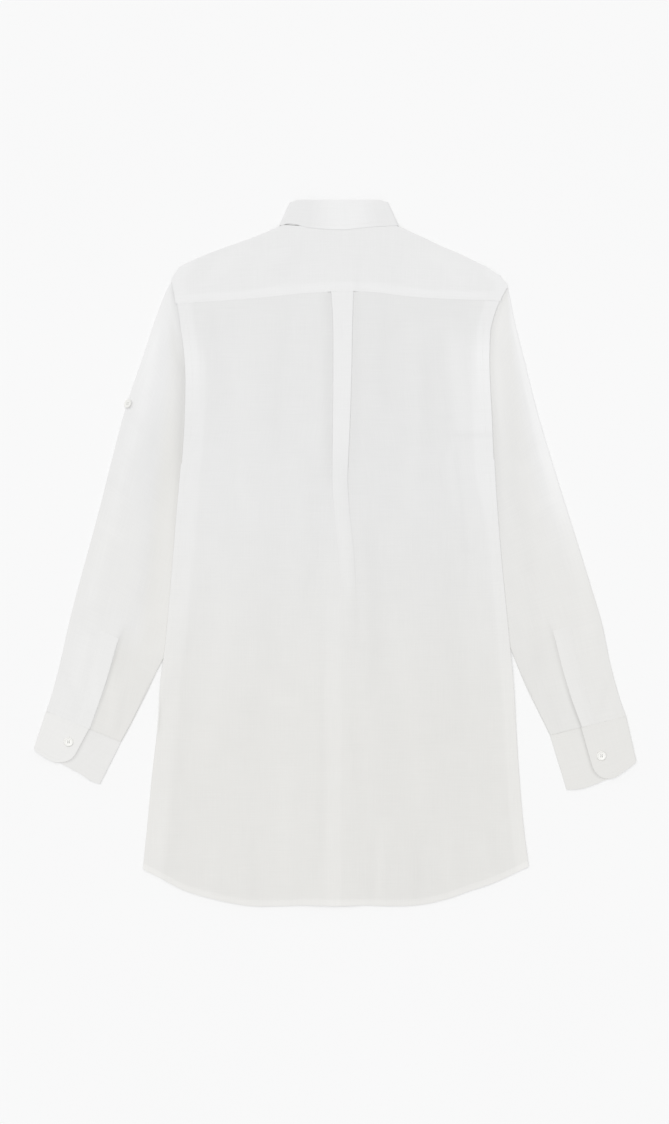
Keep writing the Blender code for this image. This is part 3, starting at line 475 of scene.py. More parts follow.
def sewn_wall(name, upper, lower, cut, doubled, keep=None, ring=False, shade=0.0, warm=None):
    """A wall of cloth between two grids of points.

    cut holds each point's place in the flat piece. doubled says how much paler it is, from more cloth lying
    behind it and from painted light and shade, shade how much painted shade it takes beside edges, to which
    the creases add their own, and warm how much of a warmer tint it takes, each from 0 to 1.
    keep says which squares of the grid are cloth, and a ring closes on itself."""
    upper, lower, cut = np.array(upper), np.array(lower), np.array(cut)
    rows, columns = upper.shape[:2]
    spans = columns if ring else columns - 1
    if keep is None:
        keep = np.ones((rows - 1, spans), bool)
    count = rows * columns
    r, c = np.nonzero(keep)
    d = (c + 1) % columns
    this_row, next_row = r * columns, (r + 1) * columns
    corners = np.stack([this_row + c, this_row + d, next_row + d, next_row + c], axis=1)
    edges = np.concatenate([corners[:, [i, (i + 1) % 4]] for i in range(4)])
    code = edges[:, 0] * count + edges[:, 1]
    back = edges[:, 1] * count + edges[:, 0]
    rim = edges[~np.isin(code, back)]
    sides = np.stack([rim[:, 1], rim[:, 0], rim[:, 0] + count, rim[:, 1] + count], axis=1)
    faces = np.concatenate([corners, corners[:, ::-1] + count, sides])
    points = np.concatenate([settled(upper).reshape(-1, 3), settled(lower).reshape(-1, 3)])
    used, numbered = np.unique(faces, return_inverse=True)
    faces = numbered.reshape(faces.shape)
    mesh = bpy.data.meshes.new(name)
    mesh.from_pydata(points[used].tolist(), [], faces.tolist())
    flat = np.concatenate([cut.reshape(-1, 2)] * 2)[used] * MM
    layer = mesh.uv_layers.new(name="cut")
    corner_points = np.empty(len(mesh.loops), int)
    mesh.loops.foreach_get("vertex_index", corner_points)
    layer.data.foreach_set("uv", flat[corner_points].reshape(-1))
    if warm is None:
        warm = past(upper[..., 1], *WARM_BELOW)
    # Painted shade in the creases' troughs and painted light on their ridges
    shade = np.array(shade) - CREASE_SHADING * creased(upper[..., 0], upper[..., 1])
    for label, values in (("layers_and_painted_light", doubled), ("shade", shade), ("warm", warm)):
        grid = np.broadcast_to(values, (rows, columns)).reshape(-1)
        layer = mesh.attributes.new(label, "FLOAT", "POINT")
        layer.data.foreach_set("value", np.concatenate([grid, grid])[used].astype(np.float32))
    piece = bpy.data.objects.new(name, mesh)
    bpy.context.scene.collection.objects.link(piece)
    work = bmesh.new()
    work.from_mesh(mesh)
    if work.calc_volume(signed=True) < 0:
        bmesh.ops.reverse_faces(work, faces=work.faces)
    work.to_mesh(mesh)
    work.free()
    mesh.shade_smooth()
    mesh.set_sharp_from_angle(angle=CLOTH_EDGE_ANGLE)
    return piece


def lay_cloth(piece, node, slot, **sheet):
    """Gives the piece its linen, hangs it from the root and hides the model's part that it stands for.
    sheet, what it is cut from and how it lies, is not used.
    """
    piece.data.materials.append(LINENS[slot])
    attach(piece, "root")
    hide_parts(node)


def weave_group():
    """Plain weave with slubs: how light the thread is at each point, and how high it stands."""
    group = bpy.data.node_groups.new("linen weave", "ShaderNodeTree")
    for name, value in (("Thread Pitch", THREAD_PITCH), ("Slub", SLUB), ("Rub", RUB)):
        socket = group.interface.new_socket(name, in_out="INPUT", socket_type="NodeSocketFloat")
        socket.default_value = value
    for name in ("Tone", "Height"):
        group.interface.new_socket(name, in_out="OUTPUT", socket_type="NodeSocketFloat")
    nodes = group.nodes
    take = nodes.new("NodeGroupInput").outputs
    flat = add_node(nodes, "ShaderNodeUVMap", uv_map="cut").outputs["UV"]
    split = add_node(nodes, "ShaderNodeSeparateXYZ", {"Vector": flat})

    def sum_of(operation, *values):
        node = add_node(nodes, "ShaderNodeMath", dict(enumerate(values)), operation=operation)
        return node.outputs["Value"]

    waves = []
    for axis in ("X", "Y"):
        turns = sum_of("DIVIDE", split.outputs[axis], take["Thread Pitch"])
        waves.append(sum_of("SINE", sum_of("MULTIPLY", turns, math.pi)))
    weave = sum_of("MULTIPLY", *waves)
    slubs = []
    for scale in SLUB_SCALES:
        place = add_node(nodes, "ShaderNodeMapping", {"Vector": flat, "Scale": scale}).outputs["Vector"]
        noise = add_node(nodes, "ShaderNodeTexNoise", {"Vector": place, "Scale": 1.0, "Detail": 2.0})
        slubs.append(sum_of("SUBTRACT", noise.outputs["Fac"], 0.5))
    slub = sum_of("MULTIPLY", sum_of("ADD", *slubs), take["Slub"])
    cloud = add_node(nodes, "ShaderNodeTexNoise", {"Vector": flat, "Scale": RUB_SCALE, "Detail": 4.0})
    rub = sum_of("MULTIPLY", sum_of("SUBTRACT", cloud.outputs["Fac"], 0.5), take["Rub"])
    add_node(nodes, "NodeGroupOutput", {
        "Tone": sum_of("ADD", sum_of("MULTIPLY_ADD", weave, WEAVE_TONE, slub), rub),
        "Height": sum_of("MULTIPLY_ADD", weave, WEAVE_HEIGHT, slub),
    })
    return group


LINEN_WEAVE = weave_group()


def linen(name, single, doubled):
    """White linen whose tone follows how much cloth lies behind it, with the painted light and shade of each
    piece, a warmer tint where it is given, and its weave and slubs.
    """
    material, nodes, shader = new_material(name, {
        "Roughness": 0.88, "Specular IOR Level": 0.15, "Sheen Weight": 0.12, "Sheen Roughness": 0.5,
    })
    weave = add_node(nodes, "ShaderNodeGroup", node_tree=LINEN_WEAVE)
    set_inputs(weave, {"Slub": SLUB, "Rub": RUB})
    layers_and_painted_light, warm, shade = [
        add_node(nodes, "ShaderNodeAttribute", attribute_name=label).outputs["Fac"]
        for label in ("layers_and_painted_light", "warm", "shade")
    ]
    tone = add_node(nodes, "ShaderNodeMix", {
        "Factor": layers_and_painted_light, "A": (*single, 1.0), "B": (*doubled, 1.0),
    }, data_type="RGBA")
    tint = add_node(nodes, "ShaderNodeMix", {
        "Factor": warm, "A": tone.outputs["Result"], "B": WARM_TINT,
    }, data_type="RGBA", blend_type="MULTIPLY")
    deep = add_node(nodes, "ShaderNodeMath", {0: shade, 1: -SHADE_DEPTH, 2: 1.0}, operation="MULTIPLY_ADD")
    lift = add_node(nodes, "ShaderNodeMath", {
        0: weave.outputs["Tone"], 1: WEAVE_CONTRAST, 2: deep.outputs["Value"],
    }, operation="MULTIPLY_ADD")
    cloth = add_node(nodes, "ShaderNodeVectorMath", operation="SCALE")
    set_inputs(cloth, {"Vector": tint.outputs["Result"], "Scale": lift.outputs["Value"]})
    relief = add_node(nodes, "ShaderNodeBump", {
        "Strength": 0.35, "Distance": 0.00012, "Height": weave.outputs["Height"],
    })
    set_inputs(shader, {"Base Color": cloth.outputs["Vector"], "Normal": relief.outputs["Normal"]})
    return material


LINENS = {
    "cloth": linen("white body linen", (0.772, 0.772, 0.768), (0.865, 0.865, 0.865)),
    "doubled_cloth": linen("white doubled linen", (0.785, 0.785, 0.782), (0.872, 0.872, 0.872)),
}


def pleat_path(down):
    """Mid line of the raised pleat in one section: distances from its middle, and heights."""
    half = along(PLEAT, down, "down", "half")
    depth = along(PLEAT, down, "down", "depth")
    turn = math.radians(along(PLEAT, down, "down", "turn"))
    path = [(0.0, 0.0)]
    for angle in np.linspace(0, turn, 8)[1:]:
        path.append((PLEAT_FOLD * math.sin(angle), PLEAT_FOLD * (1 - math.cos(angle))))
    x, z = path[-1]
    for share in (0.5, 1.0):
        path.append((x + share * depth * math.cos(turn), z + share * depth * math.sin(turn)))
    x, z = path[-1]
    for angle in np.linspace(0, turn, 8)[1:]:
        path.append((
            x + PLEAT_FOLD * (math.sin(turn) - math.sin(turn - angle)),
            z + PLEAT_FOLD * (math.cos(turn - angle) - math.cos(turn)),
        ))
    end_x, rise = path[-1]
    left = [(px - end_x - half + PLEAT_FOLD, pz) for px, pz in path]
    face = [(left[-1][0] * share, rise) for share in (0.75, 0.5, 0.25)]
    right = [(-px, pz) for px, pz in reversed(left + face)]
    return np.array(left + face + [(0.0, rise)] + right)


def fold(x, low, high, side):
    """Points round a half turn at the edge x, from the lower mid height to the upper one, and its centre."""
    radius = (high - low) / 2
    centre = x - side * (radius + CLOTH / 2)
    points = []
    for a in np.radians(np.linspace(-90, 90, 9)[1:-1]):
        points.append((centre + side * radius * math.cos(a), (high + low) / 2 + radius * math.sin(a)))
    return points, centre


def back_layers_and_shade(x, down):
    """How much paler each point is: over turned sides, armhole seams, tucked sleeves, front band and hem,
    less painted shade beside the pleat and towards the bottom.
    """
    right = x > 0
    out = np.abs(x)
    edge = edge_width(x, down) - out
    turn_wide = np.where(right, 22.0 - 9.0 * past(down, UNDERARM_DOWN, 90.0), 23.0)
    turned = TURNED_TONE * before(edge, turn_wide, 6.0) * past(down, 150.0, 60.0)
    armhole = ARMHOLE_TONE * before(edge, 15.0, 6.0) * before(down, 190.0, 90.0)
    tucked = np.where(right, TUCKED_TONES[1] - 0.16 * past(down, UNDERARM_DOWN, 110.0), TUCKED_TONES[0])
    tucked = tucked * past(out, sleeve_limit(x, down), 10.0) * past(down, 292.0, 6.0)
    flap = np.where(right, FLAP_TONES[1], FLAP_TONES[0]) * past(out, 128.0 + 0.1 * (down - 160.0), 16.0)
    flap = flap * past(down, 140.0, 60.0) * before(down, 286.0, 9.0)
    band = BAND_TONE * before(np.abs(x - band_middle(down)), 8.0, 4.0) * past(down, 420.0, 160.0)
    from_pleat = np.maximum(np.abs(x - 8.0) - 14.0, 0)
    # Painted shade in the troughs on both sides of the pleat, near its top
    trough = PLEAT_TROUGH_SHADE * hump(from_pleat, 0.0, 9.0) * before(down, 300.0, 90.0)
    hem = HEM_TONE * before(hem_down(x) - down, HEM_TURN - 1.0, 3.0)
    # Painted shade that deepens towards the bottom
    lower = LOWER_SHADE * past(down, 380.0, 420.0)
    return np.clip(PLAIN_TONE + turned + armhole + tucked + flap + band + trough + hem + lower, 0, 1)


def back_shade(x, down):
    """How much painted shade each point takes: beside the pleat, along its right edge further down, at the
    hem, and across the back right of the pleat.
    """
    from_pleat = x - along(PLEAT, down, "down", "middle")
    half = along(PLEAT, down, "down", "half")
    beside = hump(np.abs(from_pleat), half + 3.0, 9.0) * (np.abs(from_pleat) > half)
    beside = beside * np.where(from_pleat > 0, 0.05, 0.17) * before(down, 300.0, 120.0)
    below = 0.10 * hump(from_pleat, half * 0.9, 6.0) * past(down, 320.0, 40.0) * before(down, 480.0, 130.0)
    hem = 0.07 * before(hem_down(x) - down, 0.0, 0.8)
    right = 0.07 * past(from_pleat, half, 30.0) * before(x, 150.0, 40.0)
    return beside + below + hem + right


def back_half(side, part, pleat_x):
    """Half a row of the back: its turned side from the inner edge, the fold, and the top up to the pleat.

    Each point has its x, its height above the cloth below, and the kind of place it is."""
    top = yoke_seam_down(side * SEAM_CORNER_X)
    edge_down = top + SEAM_GAP + part * (hem_corner_down(side) - top - SEAM_GAP)
    x = side * float(half_width(SIDE_NAMES[side], edge_down))
    low = float(front_low(x - side * SIDE_INSET, edge_down)) + CLOTH / 2
    high = float(back_low(x - side * SIDE_INSET, edge_down)) + CLOTH / 2
    turn, centre = fold(x, low, high, side)
    inner = x - side * SIDE_TURN_UNDER
    run = [(inner + (centre - inner) * t, 0.0, "under") for t in np.linspace(0, 1, 6)]
    run += [(px, pz, "turn") for px, pz in turn]
    run += [(centre + (pleat_x - centre) * t, 0.0, "top") for t in np.linspace(0, 1, 52)[:-1]]
    return run if side < 0 else run[::-1]


def make_back():
    parts = np.concatenate([np.linspace(*rows) for rows in BACK_ROWS])
    upper, lower, cut, layers_and_painted_light, under = [], [], [], [], []
    for part in parts:
        middle_down = PLEAT_TOP + part * (LENGTH - PLEAT_TOP)
        middle = float(along(PLEAT, middle_down, "down", "middle"))
        half = float(along(PLEAT, middle_down, "down", "half"))
        ridge = pleat_path(middle_down)
        left, right = [back_half(side, part, middle + side * abs(ridge[0][0])) for side in (-1, 1)]
        whole = left + [(middle + px, pz, "pleat") for px, pz in ridge] + right
        x, rise, kind = [np.array(values) for values in zip(*whole)]
        top_down = yoke_seam_down(x) + SEAM_GAP
        down = top_down + part * (hem_down(x) - top_down)
        z = np.where(kind == "under", front_low(x, down), back_low(x, down)) + CLOTH / 2 + rise
        z = np.where(kind == "turn", rise, z)
        nx, nz = normals(x, z)
        upper.append(grid_of(x + nx * CLOTH / 2, down, z + nz * CLOTH / 2))
        lower.append(grid_of(x - nx * CLOTH / 2, down, z - nz * CLOTH / 2))
        travelled = run_along(x, z)
        cut.append(np.stack([travelled - travelled[-1] / 2, down], axis=-1))
        plain = back_layers_and_shade(x, down)
        flat_fold = past(down, 290.0, 40.0) * smooth((half - np.abs(x - middle)) / 2.0)
        raised = np.maximum(past(rise / PLEAT_RISE, 0.1, 0.5), flat_fold) * (kind == "pleat")
        layers_and_painted_light.append(plain + raised * np.maximum(tone_at(PLEAT_TONE, down) - plain, 0))
        under.append((kind == "under") | (kind == "turn"))
    upper, lower, under = np.array(upper), np.array(lower), np.array(under)
    shade = back_shade(upper[..., 0], upper[..., 1])
    keep = np.ones((len(parts) - 1, upper.shape[1] - 1), bool)
    above = upper[:-1, 0, 1] < UNDERARM_DOWN
    keep[above] = ~(under[:-1, :-1] | under[:-1, 1:])[above]
    back = sewn_wall("back_cloth", upper, lower, cut, layers_and_painted_light, keep, shade=shade)
    lay_cloth(back, "back", "cloth", flat=(0.56, 0.775),
              rests_on=["front_left_cloth", "front_right_cloth"], area=0.36)
    return parts


BACK_PARTS = make_back()


# The two front panels
# Plain panels of the same linen, face down under the back, each sewn to its button band in the middle, to
# the yoke's front strip at the shoulder and to the back at its turned side.

YOKE_FRONT_DEPTH = 28.0
FRONT_TOP_X = 192.0
FRONT_TOP_GAP = 1.2
FRONT_NECK_GAP = 0.3
FRONT_BAND_GAP = 0.4
FRONT_INSET = 3.0
FRONT_TURN_GAP = 0.5
FRONT_FIRST_ROW = 6.0
FRONT_HEM_SHORTER = 4.0


def neckline_down(x):
    inside = np.clip(1 - ((x - COLLAR_X) / NECK_HALF) ** 2, 0, 1)
    return NECK_DOWN + NECK_DEPTH * np.sqrt(inside)


def make_front(side, area):
    name = SIDE_NAMES[side]
    lift = UNDER_BAND_LOW if side < 0 else OVER_BAND_LOW
    across = np.linspace(0, 1, 42)
    top_edge = float(shoulder_down(side * FRONT_TOP_X)) + YOKE_FRONT_DEPTH
    back_top = float(yoke_seam_down(side * SEAM_CORNER_X)) + SEAM_GAP
    x, down = [], []
    for r, part in enumerate(BACK_PARTS[::2]):
        edge_down = back_top + part * (hem_corner_down(side) - back_top) if r else top_edge
        inset = SIDE_TURN_UNDER + FRONT_TURN_GAP if edge_down >= UNDERARM_DOWN + 4 else FRONT_INSET
        edge = float(half_width(name, edge_down)) - inset
        middle = float(band_middle(edge_down if r else NECK_DOWN + NECK_DEPTH))
        middle += side * (BAND_HALF + FRONT_BAND_GAP)
        row_x = middle + across * (side * edge - middle)
        at_shoulder = shoulder_down(row_x) + YOKE_FRONT_DEPTH + FRONT_TOP_GAP
        top = np.maximum(at_shoulder, neckline_down(row_x) + FRONT_NECK_GAP)
        start = np.maximum(top + FRONT_FIRST_ROW, back_top)
        x.append(row_x)
        down.append(start + part * (hem_down(row_x) - FRONT_HEM_SHORTER - start) if r else top)
    x, down = np.array(x), np.array(down)
    low = front_low(x, down, lift)
    cut = np.stack([x, down], axis=-1)
    front = sewn_wall(f"front_{name}_cloth", grid_of(x, down, low + CLOTH), grid_of(x, down, low), cut, 0.2)
    lay_cloth(front, f"front_{name}", "cloth", flat=(0.21, 0.815), rests_on=["table_top"], area=area)


make_front(-1, 0.137)
make_front(1, 0.141)


# The two button bands
# Straight strips of doubled linen down the middle of the front, the buttoned one next to the table and the
# other behind it. The back's cloth is thin enough for them to show through it.

BAND_END = 879.0


def make_bands():
    downs = np.linspace(0, 1, 110)
    across = np.linspace(-BAND_HALF, BAND_HALF, 9)
    start = NECK_DOWN + NECK_DEPTH + SEAM_GAP
    for name, low in (("front_band_over", OVER_BAND_LOW), ("front_band_under", UNDER_BAND_LOW)):
        down = np.repeat((start + downs * (BAND_END - start))[:, None], len(across), axis=1)
        x = band_middle(down) + across
        cut = np.stack([x, down], axis=-1)
        upper = grid_of(x, down, np.full(x.shape, low + CLOTH))
        band = sewn_wall(f"{name}_cloth", upper, grid_of(x, down, np.full(x.shape, low)), cut, 0.8)
        lay_cloth(band, name, "doubled_cloth", flat=(0.033, 0.79), rests_on=["front_left_cloth"], area=0.026)


make_bands()


# The yoke
# Two layers of linen over both shoulders, sewn to the back below, turned over the shoulder line to a short
# strip in front, and sewn to the collar stand at the neck. A paler allowance is pressed up inside its seam.

COLLAR_MID = 3.85
STAND_LEVEL_BACK = 2.05
STAND_LEVEL_FRONT = 1.05
LEAF_LEVEL = 3.35
YOKE_EDGE = (
    Side(84.5, 195, 204), Side(94, 201.6, 204.4), Side(98, 204.2, 208.2), Side(103, 204, 213),
    Side(107, 203.4, 215), Side(113, 202.2, 212.6), Side(121, 200.8, 208.4), Side(132, 199, 204.6),
)
YOKE_LEFT_X = (195.0, 186, 170, 150, 128, 108, 92, 82, 76)
YOKE_RIGHT_X = (84.5, 91, 101, 117, 137, 159, 179, 194, 204)
YOKE_PULL_FROM = 140.0
YOKE_BELOW_NECK = 3.8
YOKE_NECK_REACH = 64.0
NECK_BOW = 2.4
NECK_TURN = 0.8
SHOULDER_INSET = 2.0
SEAM_OVERLAP = 0.03
YOKE_TONE = 0.3
ALLOWANCE_TONE = 0.27
YOKE_ARMHOLE_TONE = 0.24


def yoke_low(x, down):
    """The yoke rises to the collar stand at the neck, and over the pleat at its seam."""
    from_neck = np.hypot(np.maximum(np.abs(x - COLLAR_X) - NECK_HALF, 0), np.maximum(down - NECK_DOWN, 0))
    neck = COLLAR_MID + STAND_LEVEL_BACK - CLOTH / 2 - YOKE_BELOW_NECK * smooth(from_neck / YOKE_NECK_REACH)
    off = np.abs(x - PLEAT[0].middle) - PLEAT[0].half
    over_pleat = PLEAT_RISE * before(off, 1.0, 7.0) * before(yoke_seam_down(x) - down, 0.0, 40.0)
    return np.maximum(back_low(x, down), neck) + over_pleat


def finer(values, count):
    """The same run of values at more places, evenly spaced between them."""
    at = np.linspace(0, len(values) - 1, count)
    return np.interp(at, np.arange(len(values)), values)


def make_yoke():
    neck_columns = np.linspace(-1, 1, 51) * (NECK_HALF + SEAM_GAP) + COLLAR_X
    left_x = -finer(YOKE_LEFT_X, 41)
    right_x = finer(YOKE_RIGHT_X, 41)
    columns = np.concatenate([left_x, neck_columns, right_x])
    neck_from = len(left_x)
    neck_to = neck_from + len(neck_columns) - 1
    outside = np.ones(len(columns), bool)
    outside[neck_from + 1:neck_to] = False
    back_rows = np.linspace(0.0, 1.0, 25)
    strip_rows = np.linspace(0.0, 1.0, 9)
    mid_x, mid_down, mid_z, layers_and_painted_light = [], [], [], []
    for i, x in enumerate(columns):
        side = "left" if x < 0 else "right"
        corner = getattr(YOKE_EDGE[0], side)
        pull = np.sign(x) * float(past(abs(x), YOKE_PULL_FROM, corner - YOKE_PULL_FROM))
        seam = float(yoke_seam_down(x + pull * (getattr(YOKE_EDGE[-1], side) - corner)))
        line = float(shoulder_down(x)) if outside[i] else 0.0
        if outside[i]:
            low = float(front_low(x, line + SHOULDER_INSET)) + CLOTH / 2
            high = float(yoke_low(x, line + SHOULDER_INSET)) + CLOTH / 2
            radius = (high - low) / 2
            top = line + radius + CLOTH / 2
        else:
            top = NECK_DOWN + NECK_BOW * (1 - ((x - COLLAR_X) / NECK_HALF) ** 2)
            radius = NECK_TURN
            low = high = float(yoke_low(x, top)) + CLOTH / 2
        downs = list(seam + SEAM_GAP - SEAM_OVERLAP + (top - seam - SEAM_GAP) * back_rows)
        zs = [float(yoke_low(x, down)) + CLOTH / 2 for down in downs]
        zs[-1] = high if outside[i] else zs[-1]
        xs = [x] * len(downs)
        for angle in np.radians(np.linspace(90, -90, 8)[1:-1]):
            xs.append(x)
            downs.append(top - radius * math.cos(angle))
            zs.append((low + high) / 2 + radius * math.sin(angle))
        for part in strip_rows:
            down = top + (line + YOKE_FRONT_DEPTH - top) * part
            strip_x = x
            if i in (neck_from, neck_to):
                reach = math.sqrt(1 - (max(down - NECK_DOWN, 0.0) / NECK_DEPTH) ** 2)
                strip_x = COLLAR_X + np.sign(x - COLLAR_X) * (NECK_HALF * reach + SEAM_GAP)
            xs.append(strip_x)
            downs.append(down)
            zs.append(float(front_low(strip_x, down)) + CLOTH / 2)
        limit = along(YOKE_EDGE, downs, "down", side)
        xs = np.array(xs) + pull * (limit - corner)
        mid_x.append(xs)
        mid_down.append(downs)
        mid_z.append(zs)
        allowance = ALLOWANCE_TONE * before(seam - np.array(downs), 9.0, 2.4)
        armhole = YOKE_ARMHOLE_TONE * before(limit - np.abs(xs), 8.0, 14.0)
        layers_and_painted_light.append(YOKE_TONE + np.maximum(allowance, armhole))
    mid_x, mid_down, mid_z = np.array(mid_x), np.array(mid_down), np.array(mid_z)
    n_down, n_z = normals(mid_down, mid_z)
    upper = grid_of(mid_x, mid_down + n_down * CLOTH / 2, mid_z + n_z * CLOTH / 2)
    lower = grid_of(mid_x, mid_down - n_down * CLOTH / 2, mid_z - n_z * CLOTH / 2)
    keep = np.ones((len(columns) - 1, upper.shape[1] - 1), bool)
    whole = outside[:-1] & outside[1:]
    whole[neck_from] = False
    keep[~whole, len(back_rows) - 1:] = False
    steps = np.hypot(np.diff(mid_down, axis=1), np.diff(mid_z, axis=1))
    travelled = np.concatenate([np.zeros((len(columns), 1)), np.cumsum(steps, axis=1)], axis=1)
    cut = np.stack([mid_x, travelled], axis=-1)
    yoke = sewn_wall("yoke_cloth", upper, lower, cut, layers_and_painted_light, keep)
    lay_cloth(yoke, "yoke", "doubled_cloth", flat=(0.4, 0.115),
              rests_on=["back_cloth", "front_left_cloth"], area=0.0362)


make_yoke()


# The collar
# A stand that closes round the neck and a leaf that rolls over it at the top, with two points in front. Both
# are doubled and stiffened linen, so they stay smooth. From behind only the leaf shows.

COLLAR_TOP_HALF = 61.0
COLLAR_EDGE_HALF = 74.5
STAND_HALF = 70.0
COLLAR_POINT = (58.0, 118.0)
COLLAR_FRONT_DOWN = 62.0
COLLAR_SAG = 2.5
COLLAR_SIDE_DOWN = {"leaf": 31.0, "stand": 29.0}
COLLAR_FRONT_SHARE = {"leaf": 0.83, "stand": 1.0}
STAND_SIDE_SHARE = 0.2
STAND_NECK_GAP = 0.7
STAND_BOW = 2.16
LEAF_FACING = 6.0
STAND_FACING = 6.5
LEAF_EDGE = (
    Line(-1.0, 31.6), Line(-0.9, 29.6), Line(-0.78, 30.4), Line(-0.6, 33.6), Line(-0.4, 35.6),
    Line(-0.1, 36.8), Line(0.1, 37.2), Line(0.3, 35.6), Line(0.55, 34.0), Line(1.0, 32.0),
)
COLLAR_LIGHT_X = 12.0
COLLAR_SHADE = 0.27
CollarStation = namedtuple("CollarStation", "fold_x fold_down edge_x edge_down angle back front_part")


def collar_stations(part_name):
    """Stations round the flattened collar, from its left front end round the back to its right front end."""
    leaf = part_name == "leaf"
    turn_size = LEAF_LEVEL + CLOTH / 2
    fold_centre = COLLAR_TOP_HALF - turn_size
    edge_centre = COLLAR_EDGE_HALF - turn_size if leaf else STAND_HALF
    side_edge = COLLAR_SIDE_DOWN[part_name]
    last = COLLAR_FRONT_SHARE[part_name]
    half = []
    for c in np.linspace(0, 1, 29):
        half.append((c * fold_centre, COLLAR_SAG * past(c, 0.9, 0.1), c * edge_centre, None, 90.0, c, 0.0))
    for angle in np.linspace(90, -90, 16)[1:-1]:
        half.append((fold_centre, COLLAR_SAG, edge_centre, side_edge + 0.6, angle, 1.0, 0.0))
    for f in np.linspace(0, 1, 33):
        fold_x = fold_centre * math.cos(math.radians(100 * f * last))
        fold_down = COLLAR_SAG + (COLLAR_FRONT_DOWN - COLLAR_SAG) * math.sin(math.radians(90 * f * last))
        if leaf:
            edge_x = edge_centre + (COLLAR_POINT[0] - edge_centre) * f
            edge_down = side_edge + 1 + (COLLAR_POINT[1] - side_edge - 1) * f
        elif f <= STAND_SIDE_SHARE:
            edge_x = edge_centre
            edge_down = side_edge + 0.6 + 18.0 * f / STAND_SIDE_SHARE
        else:
            turn = math.radians(17 + 83 * (f - STAND_SIDE_SHARE) / (1 - STAND_SIDE_SHARE))
            edge_x = (NECK_HALF - STAND_NECK_GAP) * math.cos(turn)
            edge_down = NECK_DOWN + (NECK_DEPTH - STAND_NECK_GAP) * math.sin(turn)
        half.append((fold_x, fold_down, edge_x, edge_down, -90.0, 1.0, f))
    stations = []
    for side in (-1, 1):
        run = []
        for fold_x, fold_down, edge_x, edge_down, angle, c, f in half:
            if edge_down is None and leaf:
                edge_down = float(along(LEAF_EDGE, side * c))
            elif edge_down is None:
                edge_down = NECK_DOWN - SEAM_GAP + STAND_BOW * (1 - c * c) - past(c, 0.8, 0.2)
            run.append(CollarStation(side * fold_x, fold_down, side * edge_x, edge_down, angle, side, f))
        stations.extend(reversed(run) if side < 0 else run[1:])
    return stations


def collar_width(station):
    return math.hypot(station.edge_x - station.fold_x, station.edge_down - station.fold_down)


def collar_spot(station, distance, out):
    """Points of the collar at a distance from its fold, and out from the middle of its thickness."""
    dx = (station.edge_x - station.fold_x) / collar_width(station)
    dd = (station.edge_down - station.fold_down) / collar_width(station)
    angle = math.radians(station.angle)
    x = COLLAR_X + station.fold_x + dx * distance + station.back * out * math.cos(angle)
    return grid_of(x, station.fold_down + dd * distance, COLLAR_MID + out * math.sin(angle))


def collar_wall(name, stations, profiles, keep, doubled):
    """A wall round the collar whose profile at each station is pairs of distance from the fold and level."""
    upper, lower, cut = [], [], []
    travelled = 0.0
    last_place = None
    for station, profile in zip(stations, profiles):
        distance, level = np.array(profile).T
        nd, nl = normals(distance, level)
        for rows, sign in ((upper, 0.5), (lower, -0.5)):
            rows.append(collar_spot(station, distance + sign * nd * CLOTH, level + sign * nl * CLOTH))
        place = upper[-1][-1]
        travelled += 0.0 if last_place is None else float(np.linalg.norm(place - last_place))
        last_place = place
        run = run_along(distance, level)
        cut.append(np.stack([np.full(len(run), travelled), run], axis=-1))
    shade = COLLAR_SHADE * past(np.abs(np.array(upper)[..., 0] - COLLAR_LIGHT_X), 8.0, 42.0)
    return sewn_wall(name, upper, lower, cut, doubled, keep, shade=shade)


def stand_level(station):
    """The stand's level out from the collar's middle. Its left end lies lowest, where it laps in front."""
    if station.angle > -90:
        return float(mix(STAND_LEVEL_BACK, STAND_LEVEL_FRONT, smooth((90 - station.angle) / 180)))
    lap = before(abs(station.edge_x), BAND_HALF, 14.0) if station.back < 0 else 0.0
    return STAND_LEVEL_FRONT - (CLOTH + LAYER_GAP) * float(lap)


def make_collar():
    stations = collar_stations("leaf")
    profiles, keep = [], []
    for station in stations:
        width = collar_width(station)
        inner = stand_level(station)
        radius = (LEAF_LEVEL - inner) / 2
        start = radius + CLOTH / 2
        profile = [(LEAF_FACING, inner), (start + 0.6, inner)]
        for angle in np.radians(np.linspace(-90, 90, 9)):
            profile.append((start - radius * math.cos(angle), inner + radius + radius * math.sin(angle)))
        for share in np.linspace(0, 1, 11)[1:]:
            profile.append((start + (width - start) * share, LEAF_LEVEL))
        profiles.append(profile)
    for a, b in zip(stations, stations[1:]):
        keep.append([max(a.front_part, b.front_part) < 0.3] * 10 + [True] * 10)
    leaf = collar_wall("collar_leaf_cloth", stations, profiles, np.array(keep), 0.75)
    lay_cloth(leaf, "collar_leaf", "doubled_cloth", flat=(0.36, 0.085),
              rests_on=["table_top", "yoke_cloth"], area=0.0122)
    stations = collar_stations("stand")
    profiles = []
    for station in stations:
        level = stand_level(station)
        distances = STAND_FACING + (collar_width(station) - STAND_FACING) * np.linspace(0, 1, 6)
        profiles.append([(distance, level) for distance in distances])
    stand = collar_wall("collar_stand_cloth", stations, profiles, None, 0.6)
    lay_cloth(stand, "collar_stand", "doubled_cloth", flat=(0.39, 0.027),
              rests_on=["collar_leaf_cloth"], area=0.0086)


make_collar()


# The sleeves
# Long flattened tubes of the same thin linen, sewn at the underarm, whose heads are sewn in under the body's
# edge. Their outer half stands up a little in one soft fold, and they narrow towards the cuffs.

SLEEVE_PUFF = 1.7
UNDER_WAVE = 0.35

# The middle of each sleeve's head. Further down, places are counted in stations, and the opening above the
# cuff runs from its top to the sleeve's end, with its edge at these shares of the way across.
SLEEVE_HEAD = (166.0, 190.0)
SLEEVE_END = 12
PLACKET_TOP = 8.8
PLACKET_EDGE = (0.52, 0.58)

